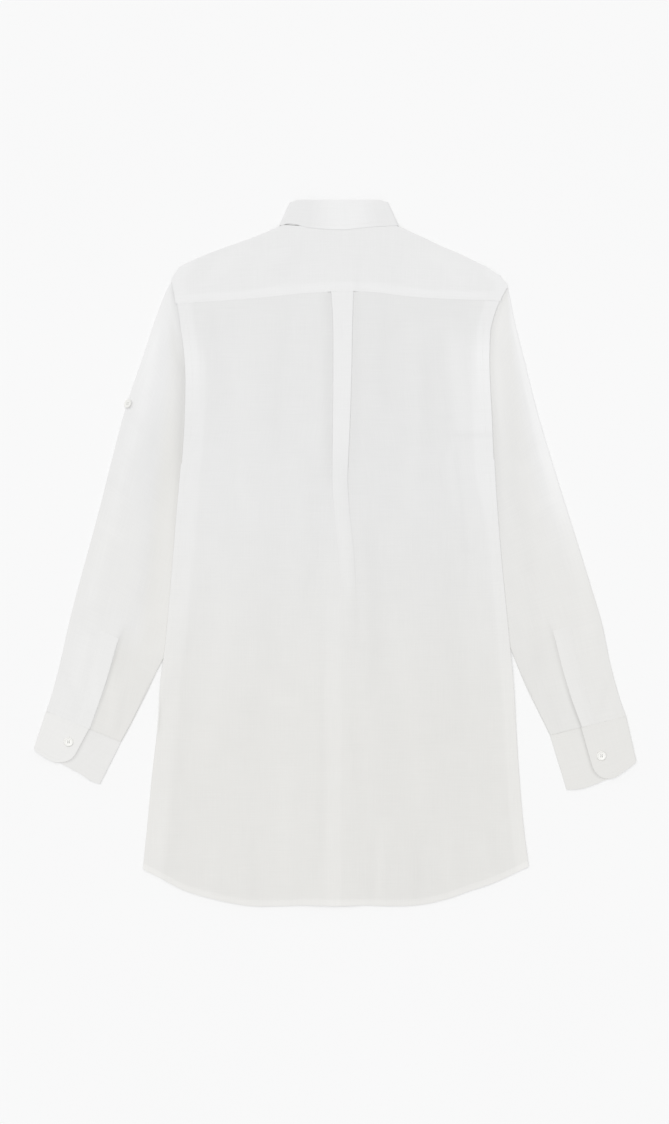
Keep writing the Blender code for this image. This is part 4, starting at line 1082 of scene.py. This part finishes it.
# How pale each sleeve is painted from the body's edge to its own outer edge: painted light on its raised
# outer fold and painted shade towards the body
LEFT_SLEEVE_LIGHT = (
    Tone(0, 0.12), Tone(0.2, 0.14), Tone(0.36, 0.42), Tone(0.55, 0.5), Tone(0.8, 0.68), Tone(1, 0.72),
)
RIGHT_SLEEVE_LIGHT = (
    Tone(0, 0.34), Tone(0.3, 0.3), Tone(0.6, 0.32), Tone(0.76, 0.5), Tone(0.85, 0.95), Tone(1, 1.0),
)
# How much painted shade lies in the left one's trough beside the body, down from its head
LEFT_TROUGH_SHADE = (Tone(1.4, 0.0), Tone(2.0, 0.45), Tone(3.0, 0.45), Tone(3.8, 0.32), Tone(4.5, 0.0))


def station_lines(stations, places):
    index = np.arange(len(stations))
    return np.stack([curve(index, column(stations, name), places) for name in Station._fields], axis=-1)


def placket_edge(place):
    """Where the edge of the sleeve's opening lies, as a share of the way across."""
    part = np.clip((place - PLACKET_TOP) / (SLEEVE_END - PLACKET_TOP), 0, 1)
    return mix(PLACKET_EDGE[0], PLACKET_EDGE[1], part)


def sleeve_puff(x, down, from_outer):
    outside = np.abs(x) - edge_width(x, down)
    return SLEEVE_PUFF * past(outside, 2.0, 28.0) * smooth(from_outer / 26.0)


def sleeve_top(line, share):
    """Points on the top face of the sleeve, at these shares of the way from its outer to its inner edge."""
    outer, inner = line[:2], line[2:]
    width = np.hypot(*(inner - outer))
    start = SLEEVE_THICK / 2
    nodes = np.linspace(start, width - start, 9)
    at = np.clip(np.asarray(share) * width, start, width - start)
    way = (inner - outer) / width
    z = SLEEVE_THICK + sleeve_puff(outer[0] + way[0] * nodes, outer[1] + way[1] * nodes, nodes - start)
    return outer[0] + way[0] * at, outer[1] + way[1] * at, np.interp(at, nodes, z)


def sleeve_painted_light(side, share, place, outside, width):
    """How pale, how shaded and how warm the sleeve is painted, across from its outer edge and down from its
    head: painted light on its raised fold, painted shade in its trough, beside the body and along the
    opening's edge.
    """
    inside = np.maximum(np.minimum(outside, (1 - share) * width), 0.0)
    seen = inside / (inside + share * width + 0.01)
    opening = past(place, 8.2, 1.2)
    edge = placket_edge(place)
    beyond = past(share, edge, 0.02)
    head = before(place, 2.4, 2.0)
    if side < 0:
        pale = tone_at(LEFT_SLEEVE_LIGHT, seen)
        pale = pale - 0.3 * past(place, 2.8, 2.6) * past(seen, 0.0, 0.5) + 0.45 * head * (1 - seen)
        pale = pale + 0.2 * past(place, 4.2, 1.5) * before(seen, 0.5, 0.3)
        pale = mix(pale, mix(0.48, 0.14, beyond), opening)
        warm = before(seen, 0.15, 0.25) * mix(0.5, 1.0, past(place, 2.0, 3.0))
        warm = np.maximum(warm * past(place, 1.0, 1.0), 0.4 * past(place, 4.0, 3.0))
        warm = mix(warm, mix(0.35, 1.0, beyond), opening)
        shade = tone_at(LEFT_TROUGH_SHADE, place) * hump(outside, 5.0, 7.0)
        beside_wide = 3.5
        line = 0.75 - 0.25 * past(place, 10.0, 2.0)
    else:
        lower = past(place, 4.5, 4.0)
        pale = tone_at(RIGHT_SLEEVE_LIGHT, seen) + 0.36 * head * (1 - seen)
        pale = mix(pale, mix(0.24, 0.08, beyond * opening), lower)
        warm = 0.5 + 0.3 * lower - 0.4 * past(seen, 0.5, 0.3) * (1 - lower)
        trough = hump(outside, 9.0, 15.0) * past(outside, -14.0, 8.0) * past(place, 0.8, 1.5)
        shade = 0.07 * trough * (1 - head)
        beside_wide = 5.0
        line = 0.45 + 0.5 * past(place, 9.5, 2.0)
    # Painted shade on the sleeve beside the body's edge, and a painted shadow line along the opening's edge
    beside = hump(outside, 1.0, beside_wide) * (outside > -3.0)
    shade = shade + 0.3 * beside * past(place, 0.2, 0.8) * before(place, 4.5, 2.5)
    shade = shade + opening * past(share, 0.01, 0.02) * line * hump(share, edge + 0.008, 0.022)
    return pale, shade, warm


def make_sleeve(side, stations, flat, area):
    name = SIDE_NAMES[side]
    radius = (SLEEVE_THICK - CLOTH) / 2
    start = radius + CLOTH / 2
    turn = np.radians(np.linspace(90, -90, 9)[1:-1])
    places = np.linspace(0, SLEEVE_END, 150)
    head = np.array([side * SLEEVE_HEAD[0], SLEEVE_HEAD[1]])
    upper, lower, cut, layers_and_painted_light, shades, warms = [], [], [], [], [], []
    for place, line in zip(places, station_lines(stations, places)):
        outer, inner = line[:2], line[2:]
        width = np.hypot(*(inner - outer))
        way = (inner - outer) / width
        across = np.linspace(start, width - start, 9)
        puff = sleeve_puff(outer[0] + way[0] * across, outer[1] + way[1] * across, across - start)
        top = np.linspace(start, width - start, 50)
        height = SLEEVE_THICK - CLOTH / 2 + np.interp(top, across, puff)
        path = list(zip(top, height))
        for a in turn:
            path.append((width - start + radius * math.cos(a), SLEEVE_THICK / 2 + radius * math.sin(a)))
        for share in np.linspace(1, 0, 16):
            wave = UNDER_WAVE * math.sin(math.pi * share) * (0.7 + 0.3 * math.sin(2.1 * place + 2 * share))
            path.append((start + (width - 2 * start) * share, CLOTH / 2 + wave))
        for a in reversed(turn):
            path.append((start - radius * math.cos(a), SLEEVE_THICK / 2 + radius * math.sin(a)))
        path = np.array(path)
        ring = np.concatenate([path[-1:], path, path[:1]])
        n_across, n_z = normals(ring[:, 0], ring[:, 1])
        for rows, sign in ((upper, 0.5), (lower, -0.5)):
            at = path[:, 0] + sign * CLOTH * n_across[1:-1]
            z = path[:, 1] + sign * CLOTH * n_z[1:-1]
            rows.append(grid_of(outer[0] + way[0] * at, outer[1] + way[1] * at, z))
        run = run_along(*path.T)
        below_head = np.hypot(*((outer + inner) / 2 - head))
        cut.append(np.stack([run, np.full(len(run), below_head)], axis=-1))
        x, down = outer[0] + way[0] * path[:, 0], outer[1] + way[1] * path[:, 0]
        outside = np.abs(x) - edge_width(x, down)
        pale, shade, warm = sleeve_painted_light(side, path[:, 0] / width, place, outside, width)
        layers_and_painted_light.append(pale)
        shades.append(shade * (path[:, 1] > SLEEVE_THICK / 2))
        warms.append(warm)
    sleeve = sewn_wall(
        f"sleeve_{name}_cloth", upper, lower, cut, layers_and_painted_light, ring=True, shade=shades, warm=warms)
    lay_cloth(sleeve, f"sleeve_{name}", "cloth", flat=flat, rests_on=["table_top"], area=area)


make_sleeve(-1, SLEEVE_LEFT, (0.45, 0.6), 0.137)
make_sleeve(1, SLEEVE_RIGHT, (0.42, 0.58), 0.1195)


# The sleeve plackets
# A folded strip of the same linen that binds the opening above each cuff and laps over it. It is sewn down
# along both of its long edges, and its lower end is caught in the cuff.

PLACKET_WIDE = 0.2
PLACKET_COLUMNS = 9
PLACKET_LOW = 0.1
PLACKET_RISE = 0.3
PLACKET_FLAT = (24.0, 130.0)


def placket_top(share):
    """How high the strip's upper face stands over the sleeve, at this share of the way to its open edge."""
    return PLACKET_LOW + (PLACKET_RISE + CLOTH) * share ** 0.7


def make_placket(side, stations):
    name = SIDE_NAMES[side]
    places = np.linspace(PLACKET_TOP, SLEEVE_END, 44)
    shares = np.linspace(0, 1, PLACKET_COLUMNS)
    upper, lower, cut = [], [], []
    for part, place, line in zip(np.linspace(0, 1, 44), places, station_lines(stations, places)):
        x, down, z = sleeve_top(line, placket_edge(place) - PLACKET_WIDE + PLACKET_WIDE * shares)
        upper.append(grid_of(x, down, z + placket_top(shares)))
        lower.append(grid_of(x, down, z - 0.05 + 0.45 * shares ** 0.7))
        cut.append(grid_of(PLACKET_FLAT[0] * shares, PLACKET_FLAT[1] * part, 0.0)[:, :2])
    pale, warm = (0.44, 0.35) if side < 0 else (np.linspace(0.1, 0.36, PLACKET_COLUMNS), 0.7)
    placket = sewn_wall(f"placket_{name}_cloth", upper, lower, cut, pale, warm=warm)
    lay_cloth(placket, f"placket_{name}", "doubled_cloth", flat=(0.025, 0.12),
              rests_on=[f"sleeve_{name}_cloth"], area=0.0028)


make_placket(-1, SLEEVE_LEFT)
make_placket(1, SLEEVE_RIGHT)


# The cuffs
# Each is one band of doubled, stiffened linen that goes once round the wrist and laps over itself on top,
# with one rounded corner, and its button holds the lap.

CUFF_CLOTH = 1.2
CUFF_LAP_TO = 0.36
CUFF_LOW = CUFF_CLOTH / 2
CUFF_UNDER = 2 * CUFF_CLOTH + 0.6 - CUFF_CLOTH / 2
CUFF_OVER = CUFF_UNDER + CUFF_CLOTH + LAYER_GAP
CUFF_TOP = CUFF_OVER + CUFF_CLOTH / 2

# hang says how far the lower edge hangs down at each of these shares of the way across. corner is the radius
# of the rounded corner, and flap and slant place the upper end across the cuff's width.
HANG_AT = (0, 0.05, 0.1, 0.2, 0.3, 0.345, 0.395, 0.45, 0.6, 0.7, 0.8, 0.9, 1)
Cuff = namedtuple("Cuff", "stations end hang corner flap slant")
CUFF_LEFT = Cuff(
    SLEEVE_LEFT, Station(-376.6, 685.2, -293.6, 729.2),
    (-0.3, 1.8, 2.6, 3.5, 3.3, 2.6, 0.6, 0.3, 0.6, 0.6, 1.8, 2.2, 0.2), 18.0, 0.57, 0.045,
)
CUFF_RIGHT = Cuff(
    SLEEVE_RIGHT, Station(376.5, 701.6, 288.9, 736.2),
    (-1.3, 1.5, 2.7, 5.1, 7.5, 8.2, 7.7, 6.9, 7.1, 7.0, 6.2, 4.0, 0.2), 18.0, 0.59, 0.0,
)


def cuff_spots(cuff, share, at):
    """Points this share of the way down the cuff, at shares of the way in from its outer edge."""
    top = np.array(cuff.stations[-1])
    edges = top + (np.array(cuff.end) - top) * share
    way = edges[2:] - edges[:2]
    out = np.array([-way[1], way[0]]) * np.sign(way[0]) / np.hypot(*way)
    hang = share ** 2 * curve(HANG_AT, cuff.hang, at)
    return edges[:2] + np.multiply.outer(at, way) + np.multiply.outer(hang, out)


def cuff_bend(x, radius, first, last):
    """Points round one of the cuff's folded sides, between two angles in degrees."""
    angles = np.radians(np.linspace(first, last, 8))
    return [(x + radius * math.cos(a), CUFF_LOW + radius + radius * math.sin(a)) for a in angles]


def cuff_path(width, flap):
    """Mid line round the cuff in one section, from its upper end round both sides to its lower end."""
    over_radius = (CUFF_OVER - CUFF_LOW) / 2
    under_radius = (CUFF_UNDER - CUFF_LOW) / 2
    outer = over_radius + CUFF_CLOTH / 2
    inner = width - under_radius - CUFF_CLOTH / 2
    path = [(at, CUFF_OVER) for at in np.linspace(flap, outer, 18)]
    path += cuff_bend(outer, over_radius, 110, 250)
    path += [(at, CUFF_LOW) for at in np.linspace(outer, inner, 14)]
    path += cuff_bend(inner, under_radius, -72, 72)
    return np.array(path + [(at, CUFF_UNDER) for at in np.linspace(inner, width * CUFF_LAP_TO, 44)])


def make_cuff(side, cuff, flat, area):
    name = SIDE_NAMES[side]
    levels, warm = ([0.24, 0.24, 0.52], 0.6) if side < 0 else ([0.04, 0.04, 0.05], 1.0)
    start, end = np.array(cuff.stations[-1]), np.array(cuff.end)
    length = np.hypot(*(end - start)[:2])
    corner = cuff.corner / length
    bends = 1 - np.sin(np.radians(np.linspace(0, 90, 10)))
    shares = np.concatenate([np.linspace(0.03 / length, 1 - corner, 13)[:-1], 1 - corner * bends])
    upper, lower, cut, layers_and_painted_light, shades = [], [], [], [], []
    for share in shares:
        ends = start + (end - start) * share
        width = np.hypot(*(ends[2:] - ends[:2]))
        near = max(0.0, 1 - (1 - share) / corner)
        round_off = cuff.corner * (1 - math.sqrt(max(0.0, 1 - near ** 2)))
        flap = width * (cuff.flap - cuff.slant * share) - round_off
        path = cuff_path(width, flap)
        n_across, n_z = normals(*path.T)
        for rows, sign in ((upper, 0.5), (lower, -0.5)):
            spots = cuff_spots(cuff, share, (path[:, 0] + sign * CUFF_CLOTH * n_across) / width)
            rows.append(grid_of(spots[:, 0], spots[:, 1], path[:, 1] + sign * CUFF_CLOTH * n_z))
        run = run_along(*path.T)
        cut.append(np.stack([run, np.full(len(run), share * length)], axis=-1))
        layers_and_painted_light.append(np.interp(path[:, 1], [CUFF_LOW, CUFF_UNDER, CUFF_OVER], levels))
        on_under = np.abs(path[:, 1] - CUFF_UNDER) < 0.01
        shades.append(np.where(on_under, 0.75 * hump(path[:, 0], flap + 0.6, 2.2), 0.0))
    wall = sewn_wall(f"cuff_{name}_cloth", upper, lower, cut, layers_and_painted_light, shade=shades, warm=warm)
    lay_cloth(wall, f"cuff_{name}", "doubled_cloth", flat=flat, rests_on=["table_top"], area=area)


make_cuff(-1, CUFF_LEFT, (0.225, 0.054), 0.0118)
make_cuff(1, CUFF_RIGHT, (0.225, 0.068), 0.0151)


# The buttons
# Turned shell buttons with a raised rim, four holes and a cross of thread: one on each cuff, one on the left
# sleeve's outer edge, and those of the front and the collar stand, which lie face down.

FIRST_BUTTON = 136.0
BUTTON_STEP = 84.0
BUTTON_COUNT = 8
BUTTON_THICK = 1.8
BUTTON_PROFILE = (
    (0.0, 0.0), (4.6, 0.0), (5.3, 0.25), (5.7, 0.8), (5.62, 1.35), (5.3, 1.68), (4.9, 1.8), (4.5, 1.74),
    (4.1, 1.45), (3.6, 1.3), (0.0, 1.25),
)
BUTTON_SIDES = 48
BUTTON_EDGE_ANGLE = math.radians(38)
BUTTON_HOLES = ((-1.15, -1.15), (1.15, -1.15), (1.15, 1.15), (-1.15, 1.15))
HOLE_RADIUS = 0.62
HOLE_SIDES = 16
DRILL_MIDDLE = 0.8
DRILL_DEPTH = 4.0
STRAND_RADIUS = 0.14
STRAND_PLACES = (-0.24, 0.0, 0.24)
STRAND_SIDES = 6
STRAND_LOW = 0.75
STRAND_RISES = (0.85, 1.07)
BUTTON_REST = 0.2


def plain(name, colour, roughness):
    return new_material(name, {"Base Color": (*colour, 1.0), "Roughness": roughness})


def shell_material():
    material, nodes, shader = plain("pearl shell", (0.86, 0.85, 0.82), 0.28)
    place = nodes.new("ShaderNodeTexCoord")
    grain = add_node(nodes, "ShaderNodeTexNoise", {
        "Vector": place.outputs["Object"], "Scale": 260.0, "Distortion": 1.5,
    })
    tint = add_node(nodes, "ShaderNodeMix", {
        "Factor": grain.outputs["Fac"], "A": (0.82, 0.81, 0.77, 1.0), "B": (0.93, 0.93, 0.91, 1.0),
    }, data_type="RGBA")
    set_inputs(shader, {"Coat Weight": 0.4, "Coat Roughness": 0.15, "Base Color": tint.outputs["Result"]})
    return material


SHELL = shell_material()
THREAD = plain("white thread", (0.85, 0.85, 0.83), 0.7)[0]


def ring_of(work, radius, z, steps):
    """A ring of corners round the middle, or the one corner on it."""
    if radius == 0.0:
        return [work.verts.new((0, 0, z))]
    angles = [2 * math.pi * s / steps for s in range(steps)]
    return [work.verts.new((radius * math.cos(a), radius * math.sin(a), z)) for a in angles]


def bridge(work, rings):
    """Faces from each ring of corners to the next. A ring may be a single corner."""
    for below, above in zip(rings, rings[1:]):
        steps = max(len(below), len(above))
        for s in range(steps):
            t = (s + 1) % steps
            if len(below) == 1:
                work.faces.new((below[0], above[t], above[s]))
            elif len(above) == 1:
                work.faces.new((below[s], below[t], above[0]))
            else:
                work.faces.new((below[s], below[t], above[t], above[s]))


def finished(work, name):
    """The mesh of this work, with its faces turned outwards."""
    bmesh.ops.recalc_face_normals(work, faces=work.faces)
    mesh = bpy.data.meshes.new(name)
    work.to_mesh(mesh)
    work.free()
    return mesh


def button_mesh():
    """The turned button with its four holes cut through."""
    work = bmesh.new()
    bridge(work, [ring_of(work, radius, z, BUTTON_SIDES) for radius, z in BUTTON_PROFILE])
    blank = bpy.data.objects.new("button blank", finished(work, "button blank"))
    work = bmesh.new()
    for x, y in BUTTON_HOLES:
        at = Matrix.Translation((x, y, DRILL_MIDDLE))
        bmesh.ops.create_cone(work, cap_ends=True, segments=HOLE_SIDES, radius1=HOLE_RADIUS,
                              radius2=HOLE_RADIUS, depth=DRILL_DEPTH, matrix=at)
    drills = bpy.data.objects.new("drills", finished(work, "drills"))
    for item in (blank, drills):
        bpy.context.scene.collection.objects.link(item)
    cut = blank.modifiers.new("holes", "BOOLEAN")
    cut.operation = "DIFFERENCE"
    cut.solver = "EXACT"
    cut.object = drills
    graph = bpy.context.evaluated_depsgraph_get()
    mesh = bpy.data.meshes.new_from_object(blank.evaluated_get(graph))
    for item in (blank, drills):
        bpy.data.objects.remove(item)
    mesh.shade_smooth()
    mesh.set_sharp_from_angle(angle=BUTTON_EDGE_ANGLE)
    return mesh


def thread_mesh():
    """Two crossed runs of thread over the holes, each three strands wide."""
    work = bmesh.new()
    for (a, b), rise in zip(((0, 2), (1, 3)), STRAND_RISES):
        start, end = np.array(BUTTON_HOLES[a]), np.array(BUTTON_HOLES[b])
        way = (end - start) / np.hypot(*(end - start))
        off = np.array([-way[1], way[0]])
        for strand in STRAND_PLACES:
            rings = []
            for t in np.linspace(0, 1, 9):
                place = start + (end - start) * t + off * strand
                z = STRAND_LOW + rise * math.sin(math.pi * t) ** 0.5
                ring = []
                for turn in np.radians(np.arange(0, 360, 360 / STRAND_SIDES)):
                    side = place + off * STRAND_RADIUS * math.cos(turn)
                    ring.append(work.verts.new((*side, z + STRAND_RADIUS * math.sin(turn))))
                rings.append(ring)
            bridge(work, rings)
            work.faces.new(rings[0][::-1])
            work.faces.new(rings[-1])
    mesh = finished(work, "button thread")
    mesh.shade_smooth()
    return mesh


BUTTON = button_mesh()
BUTTON_THREAD = thread_mesh()


def make_button(node, x, down, low, tilt=0.0, heading=0.0, face_down=False):
    spot = settled(np.array([[x, down, low]]))[0]
    place = Matrix.Translation(spot) @ Matrix.Rotation(math.radians(-heading), 4, "Z")
    place = place @ Matrix.Rotation(math.radians(-tilt), 4, "Y") @ Matrix.Scale(MM, 4)
    if face_down:
        flip = Matrix.Rotation(math.pi, 4, "X")
        place = place @ Matrix.Translation((0, 0, BUTTON_THICK)) @ flip
    for label, mesh, material in (("shell", BUTTON, SHELL), ("thread", BUTTON_THREAD, THREAD)):
        own = mesh.copy()
        own.transform(place)
        own.materials.clear()
        own.materials.append(material)
        item = bpy.data.objects.new(f"{node}_{label}", own)
        bpy.context.scene.collection.objects.link(item)
        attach(item, "root")
        if label == "shell":
            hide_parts(node)


for NUMBER in range(BUTTON_COUNT):
    DOWN = FIRST_BUTTON + BUTTON_STEP * NUMBER
    make_button(f"front_button_{NUMBER + 1}", float(band_middle(DOWN)), DOWN, BUTTON_REST, face_down=True)
make_button("collar_button", COLLAR_X, 77.0, BUTTON_REST, face_down=True)
make_button("cuff_button_left", -333.1, 676.9, CUFF_TOP + LAYER_GAP)
make_button("cuff_button_right", 332.4, 694.3, CUFF_TOP + LAYER_GAP)
make_button("tab_button_left", -258.7, 254.5, 4.3, tilt=45.0, heading=18.5)


# The stitching
# Lockstitch in white thread, about four to the centimetre: rows along the yoke seam, the collar leaf, the
# cuffs, the plackets and the hem, and down the armholes and turned sides. Each stitch is a short strand.

STITCH_LONG = 2.1
STITCH_STEP = 2.7
STITCH_THICK = 0.32
STITCH_SIZES = (0.88, 1.08)
STITCH_SEED = 7
STITCH_INPUTS = (
    ("Stitch Length", "Float", STITCH_LONG * MM), ("Thread Radius", "Float", STITCH_THICK * MM / 2),
    ("Seed", "Int", STITCH_SEED), ("Material", "Material", THREAD),
)
STITCH_LIFT = 0.05
YOKE_ROW_IN = 2.0
SIDE_ROW_IN = 7.0
ARMHOLE_ROW_IN = 10.0
COLLAR_ROW_IN = 5.0


def stitch_tool():
    """Geometry nodes that lay a short strand at each point, along its way, and stand it on the cloth."""
    group = bpy.data.node_groups.new("lockstitch", "GeometryNodeTree")
    group.interface.new_socket("Geometry", in_out="INPUT", socket_type="NodeSocketGeometry")
    for name, kind, value in STITCH_INPUTS:
        socket = group.interface.new_socket(name, in_out="INPUT", socket_type=f"NodeSocket{kind}")
        socket.default_value = value
    group.interface.new_socket("Geometry", in_out="OUTPUT", socket_type="NodeSocketGeometry")
    nodes = group.nodes
    take = nodes.new("NodeGroupInput").outputs
    strand = add_node(nodes, "GeometryNodeMeshUVSphere", {"Segments": 6, "Rings": 4, "Radius": 1.0})
    half = add_node(nodes, "ShaderNodeMath", {0: take["Stitch Length"], 1: 0.5}, operation="MULTIPLY")
    size = add_node(nodes, "ShaderNodeCombineXYZ", {
        "X": half.outputs["Value"], "Y": take["Thread Radius"], "Z": take["Thread Radius"],
    })
    shape = add_node(nodes, "GeometryNodeTransform", {
        "Geometry": strand.outputs["Mesh"], "Scale": size.outputs["Vector"],
    })
    way = add_node(nodes, "GeometryNodeInputNamedAttribute", {"Name": "way"}, data_type="FLOAT_VECTOR")
    turn = add_node(nodes, "FunctionNodeAlignRotationToVector", axis="X")
    set_inputs(turn, {"Vector": way.outputs["Attribute"]})
    vary = add_node(nodes, "FunctionNodeRandomValue", {
        2: STITCH_SIZES[0], 3: STITCH_SIZES[1], "Seed": take["Seed"],
    }, data_type="FLOAT")
    lay = add_node(nodes, "GeometryNodeInstanceOnPoints", {
        "Points": take["Geometry"], "Instance": shape.outputs["Geometry"],
        "Rotation": turn.outputs["Rotation"], "Scale": vary.outputs[1],
    })
    whole = add_node(nodes, "GeometryNodeRealizeInstances", {"Geometry": lay.outputs["Instances"]})
    cover = add_node(nodes, "GeometryNodeSetMaterial", {
        "Geometry": whole.outputs["Geometry"], "Material": take["Material"],
    })
    add_node(nodes, "NodeGroupOutput", {"Geometry": cover.outputs["Geometry"]})
    return group


LOCKSTITCH = stitch_tool()


def use_stitches(modifier):
    """Gives the modifier its node group and a value for each of the group's own inputs."""
    modifier.node_group = LOCKSTITCH
    values = {name: value for name, kind, value in STITCH_INPUTS}
    for item in LOCKSTITCH.interface.items_tree:
        if item.in_out == "INPUT" and item.name in values:
            modifier[item.identifier] = values[item.name]


def stitch_points(lines):
    """Evenly spaced points along lines of x, down and height, with the way of the line at each."""
    spots, ways = [], []
    for line in lines:
        line = settled(np.asarray(line, float))
        run = np.concatenate([[0], np.cumsum(np.linalg.norm(np.diff(line, axis=0), axis=1))])
        at = np.arange(STITCH_STEP / 2, run[-1] / MM - STITCH_STEP / 2, STITCH_STEP) * MM
        behind, spot, ahead = [
            np.stack([np.interp(at + step * MM, run, line[:, k]) for k in range(3)], axis=-1)
            for step in (-1.0, 0.0, 1.0)
        ]
        spots.append(spot)
        ways.append(ahead - behind)
    return np.concatenate(spots), np.concatenate(ways)


def sew(name, lines):
    spots, ways = stitch_points(lines)
    mesh = bpy.data.meshes.new(name)
    mesh.from_pydata(spots.tolist(), [], [])
    way = mesh.attributes.new("way", "FLOAT_VECTOR", "POINT")
    way.data.foreach_set("vector", ways.reshape(-1))
    seam = bpy.data.objects.new(name, mesh)
    bpy.context.scene.collection.objects.link(seam)
    use_stitches(seam.modifiers.new("lockstitch", "NODES"))
    graph = bpy.context.evaluated_depsgraph_get()
    seam.data = bpy.data.meshes.new_from_object(seam.evaluated_get(graph))
    seam.modifiers.clear()
    seam.data.shade_smooth()
    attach(seam, "root")


def back_line(x, down):
    return grid_of(x, down, back_low(x, down) + CLOTH + STITCH_LIFT)


def sew_body():
    across = np.linspace(-193, 201, 400)
    seam = yoke_seam_down(across) - YOKE_ROW_IN
    sew("yoke_stitches", [grid_of(across, seam, yoke_low(across, seam) + CLOTH + STITCH_LIFT)])
    across = np.linspace(-234, 236, 400)
    sew("hem_stitches", [back_line(across, hem_down(across) - HEM_TURN)])
    lines = []
    for side, name in SIDE_NAMES.items():
        down = np.linspace(330, 826, 300)
        lines.append(back_line(side * (half_width(name, down) - SIDE_ROW_IN), down))
        down = np.linspace(132, 318, 150)
        lines.append(back_line(side * (half_width(name, down) - ARMHOLE_ROW_IN), down))
    sew("side_stitches", lines)


def sew_collar():
    out = LEAF_LEVEL + CLOTH / 2 + STITCH_LIFT
    stations = collar_stations("leaf")
    line = [collar_spot(station, collar_width(station) - COLLAR_ROW_IN, out) for station in stations]
    sew("collar_stitches", [np.array(line)])


def sew_sleeve_ends():
    for cuff, name in ((CUFF_LEFT, "left"), (CUFF_RIGHT, "right")):
        places = np.linspace(PLACKET_TOP + 0.1, SLEEVE_END - 0.05, 40)
        lines = []
        for share_in in (0.006, 0.19):
            rise = placket_top(1 - share_in / PLACKET_WIDE) + STITCH_LIFT
            line = []
            for place, row in zip(places, station_lines(cuff.stations, places)):
                x, down, z = sleeve_top(row, placket_edge(place) - share_in)
                line.append((float(x), float(down), float(z) + rise))
            lines.append(np.array(line))
        sew(f"placket_{name}_stitches", lines)
        lines = []
        over = CUFF_TOP + STITCH_LIFT
        under = over - CUFF_CLOTH - LAYER_GAP
        for share, flap_gap in ((0.07, 0.03), (0.92, 0.16)):
            for at, height in (
                (np.linspace(0.035, cuff.flap - flap_gap, 40), over),
                (np.linspace(cuff.flap + 0.03, 0.97, 24), under),
            ):
                lines.append(np.column_stack([cuff_spots(cuff, share, at), np.full(len(at), height)]))
        sew(f"cuff_{name}_stitches", lines)


sew_body()
sew_collar()
sew_sleeve_ends()
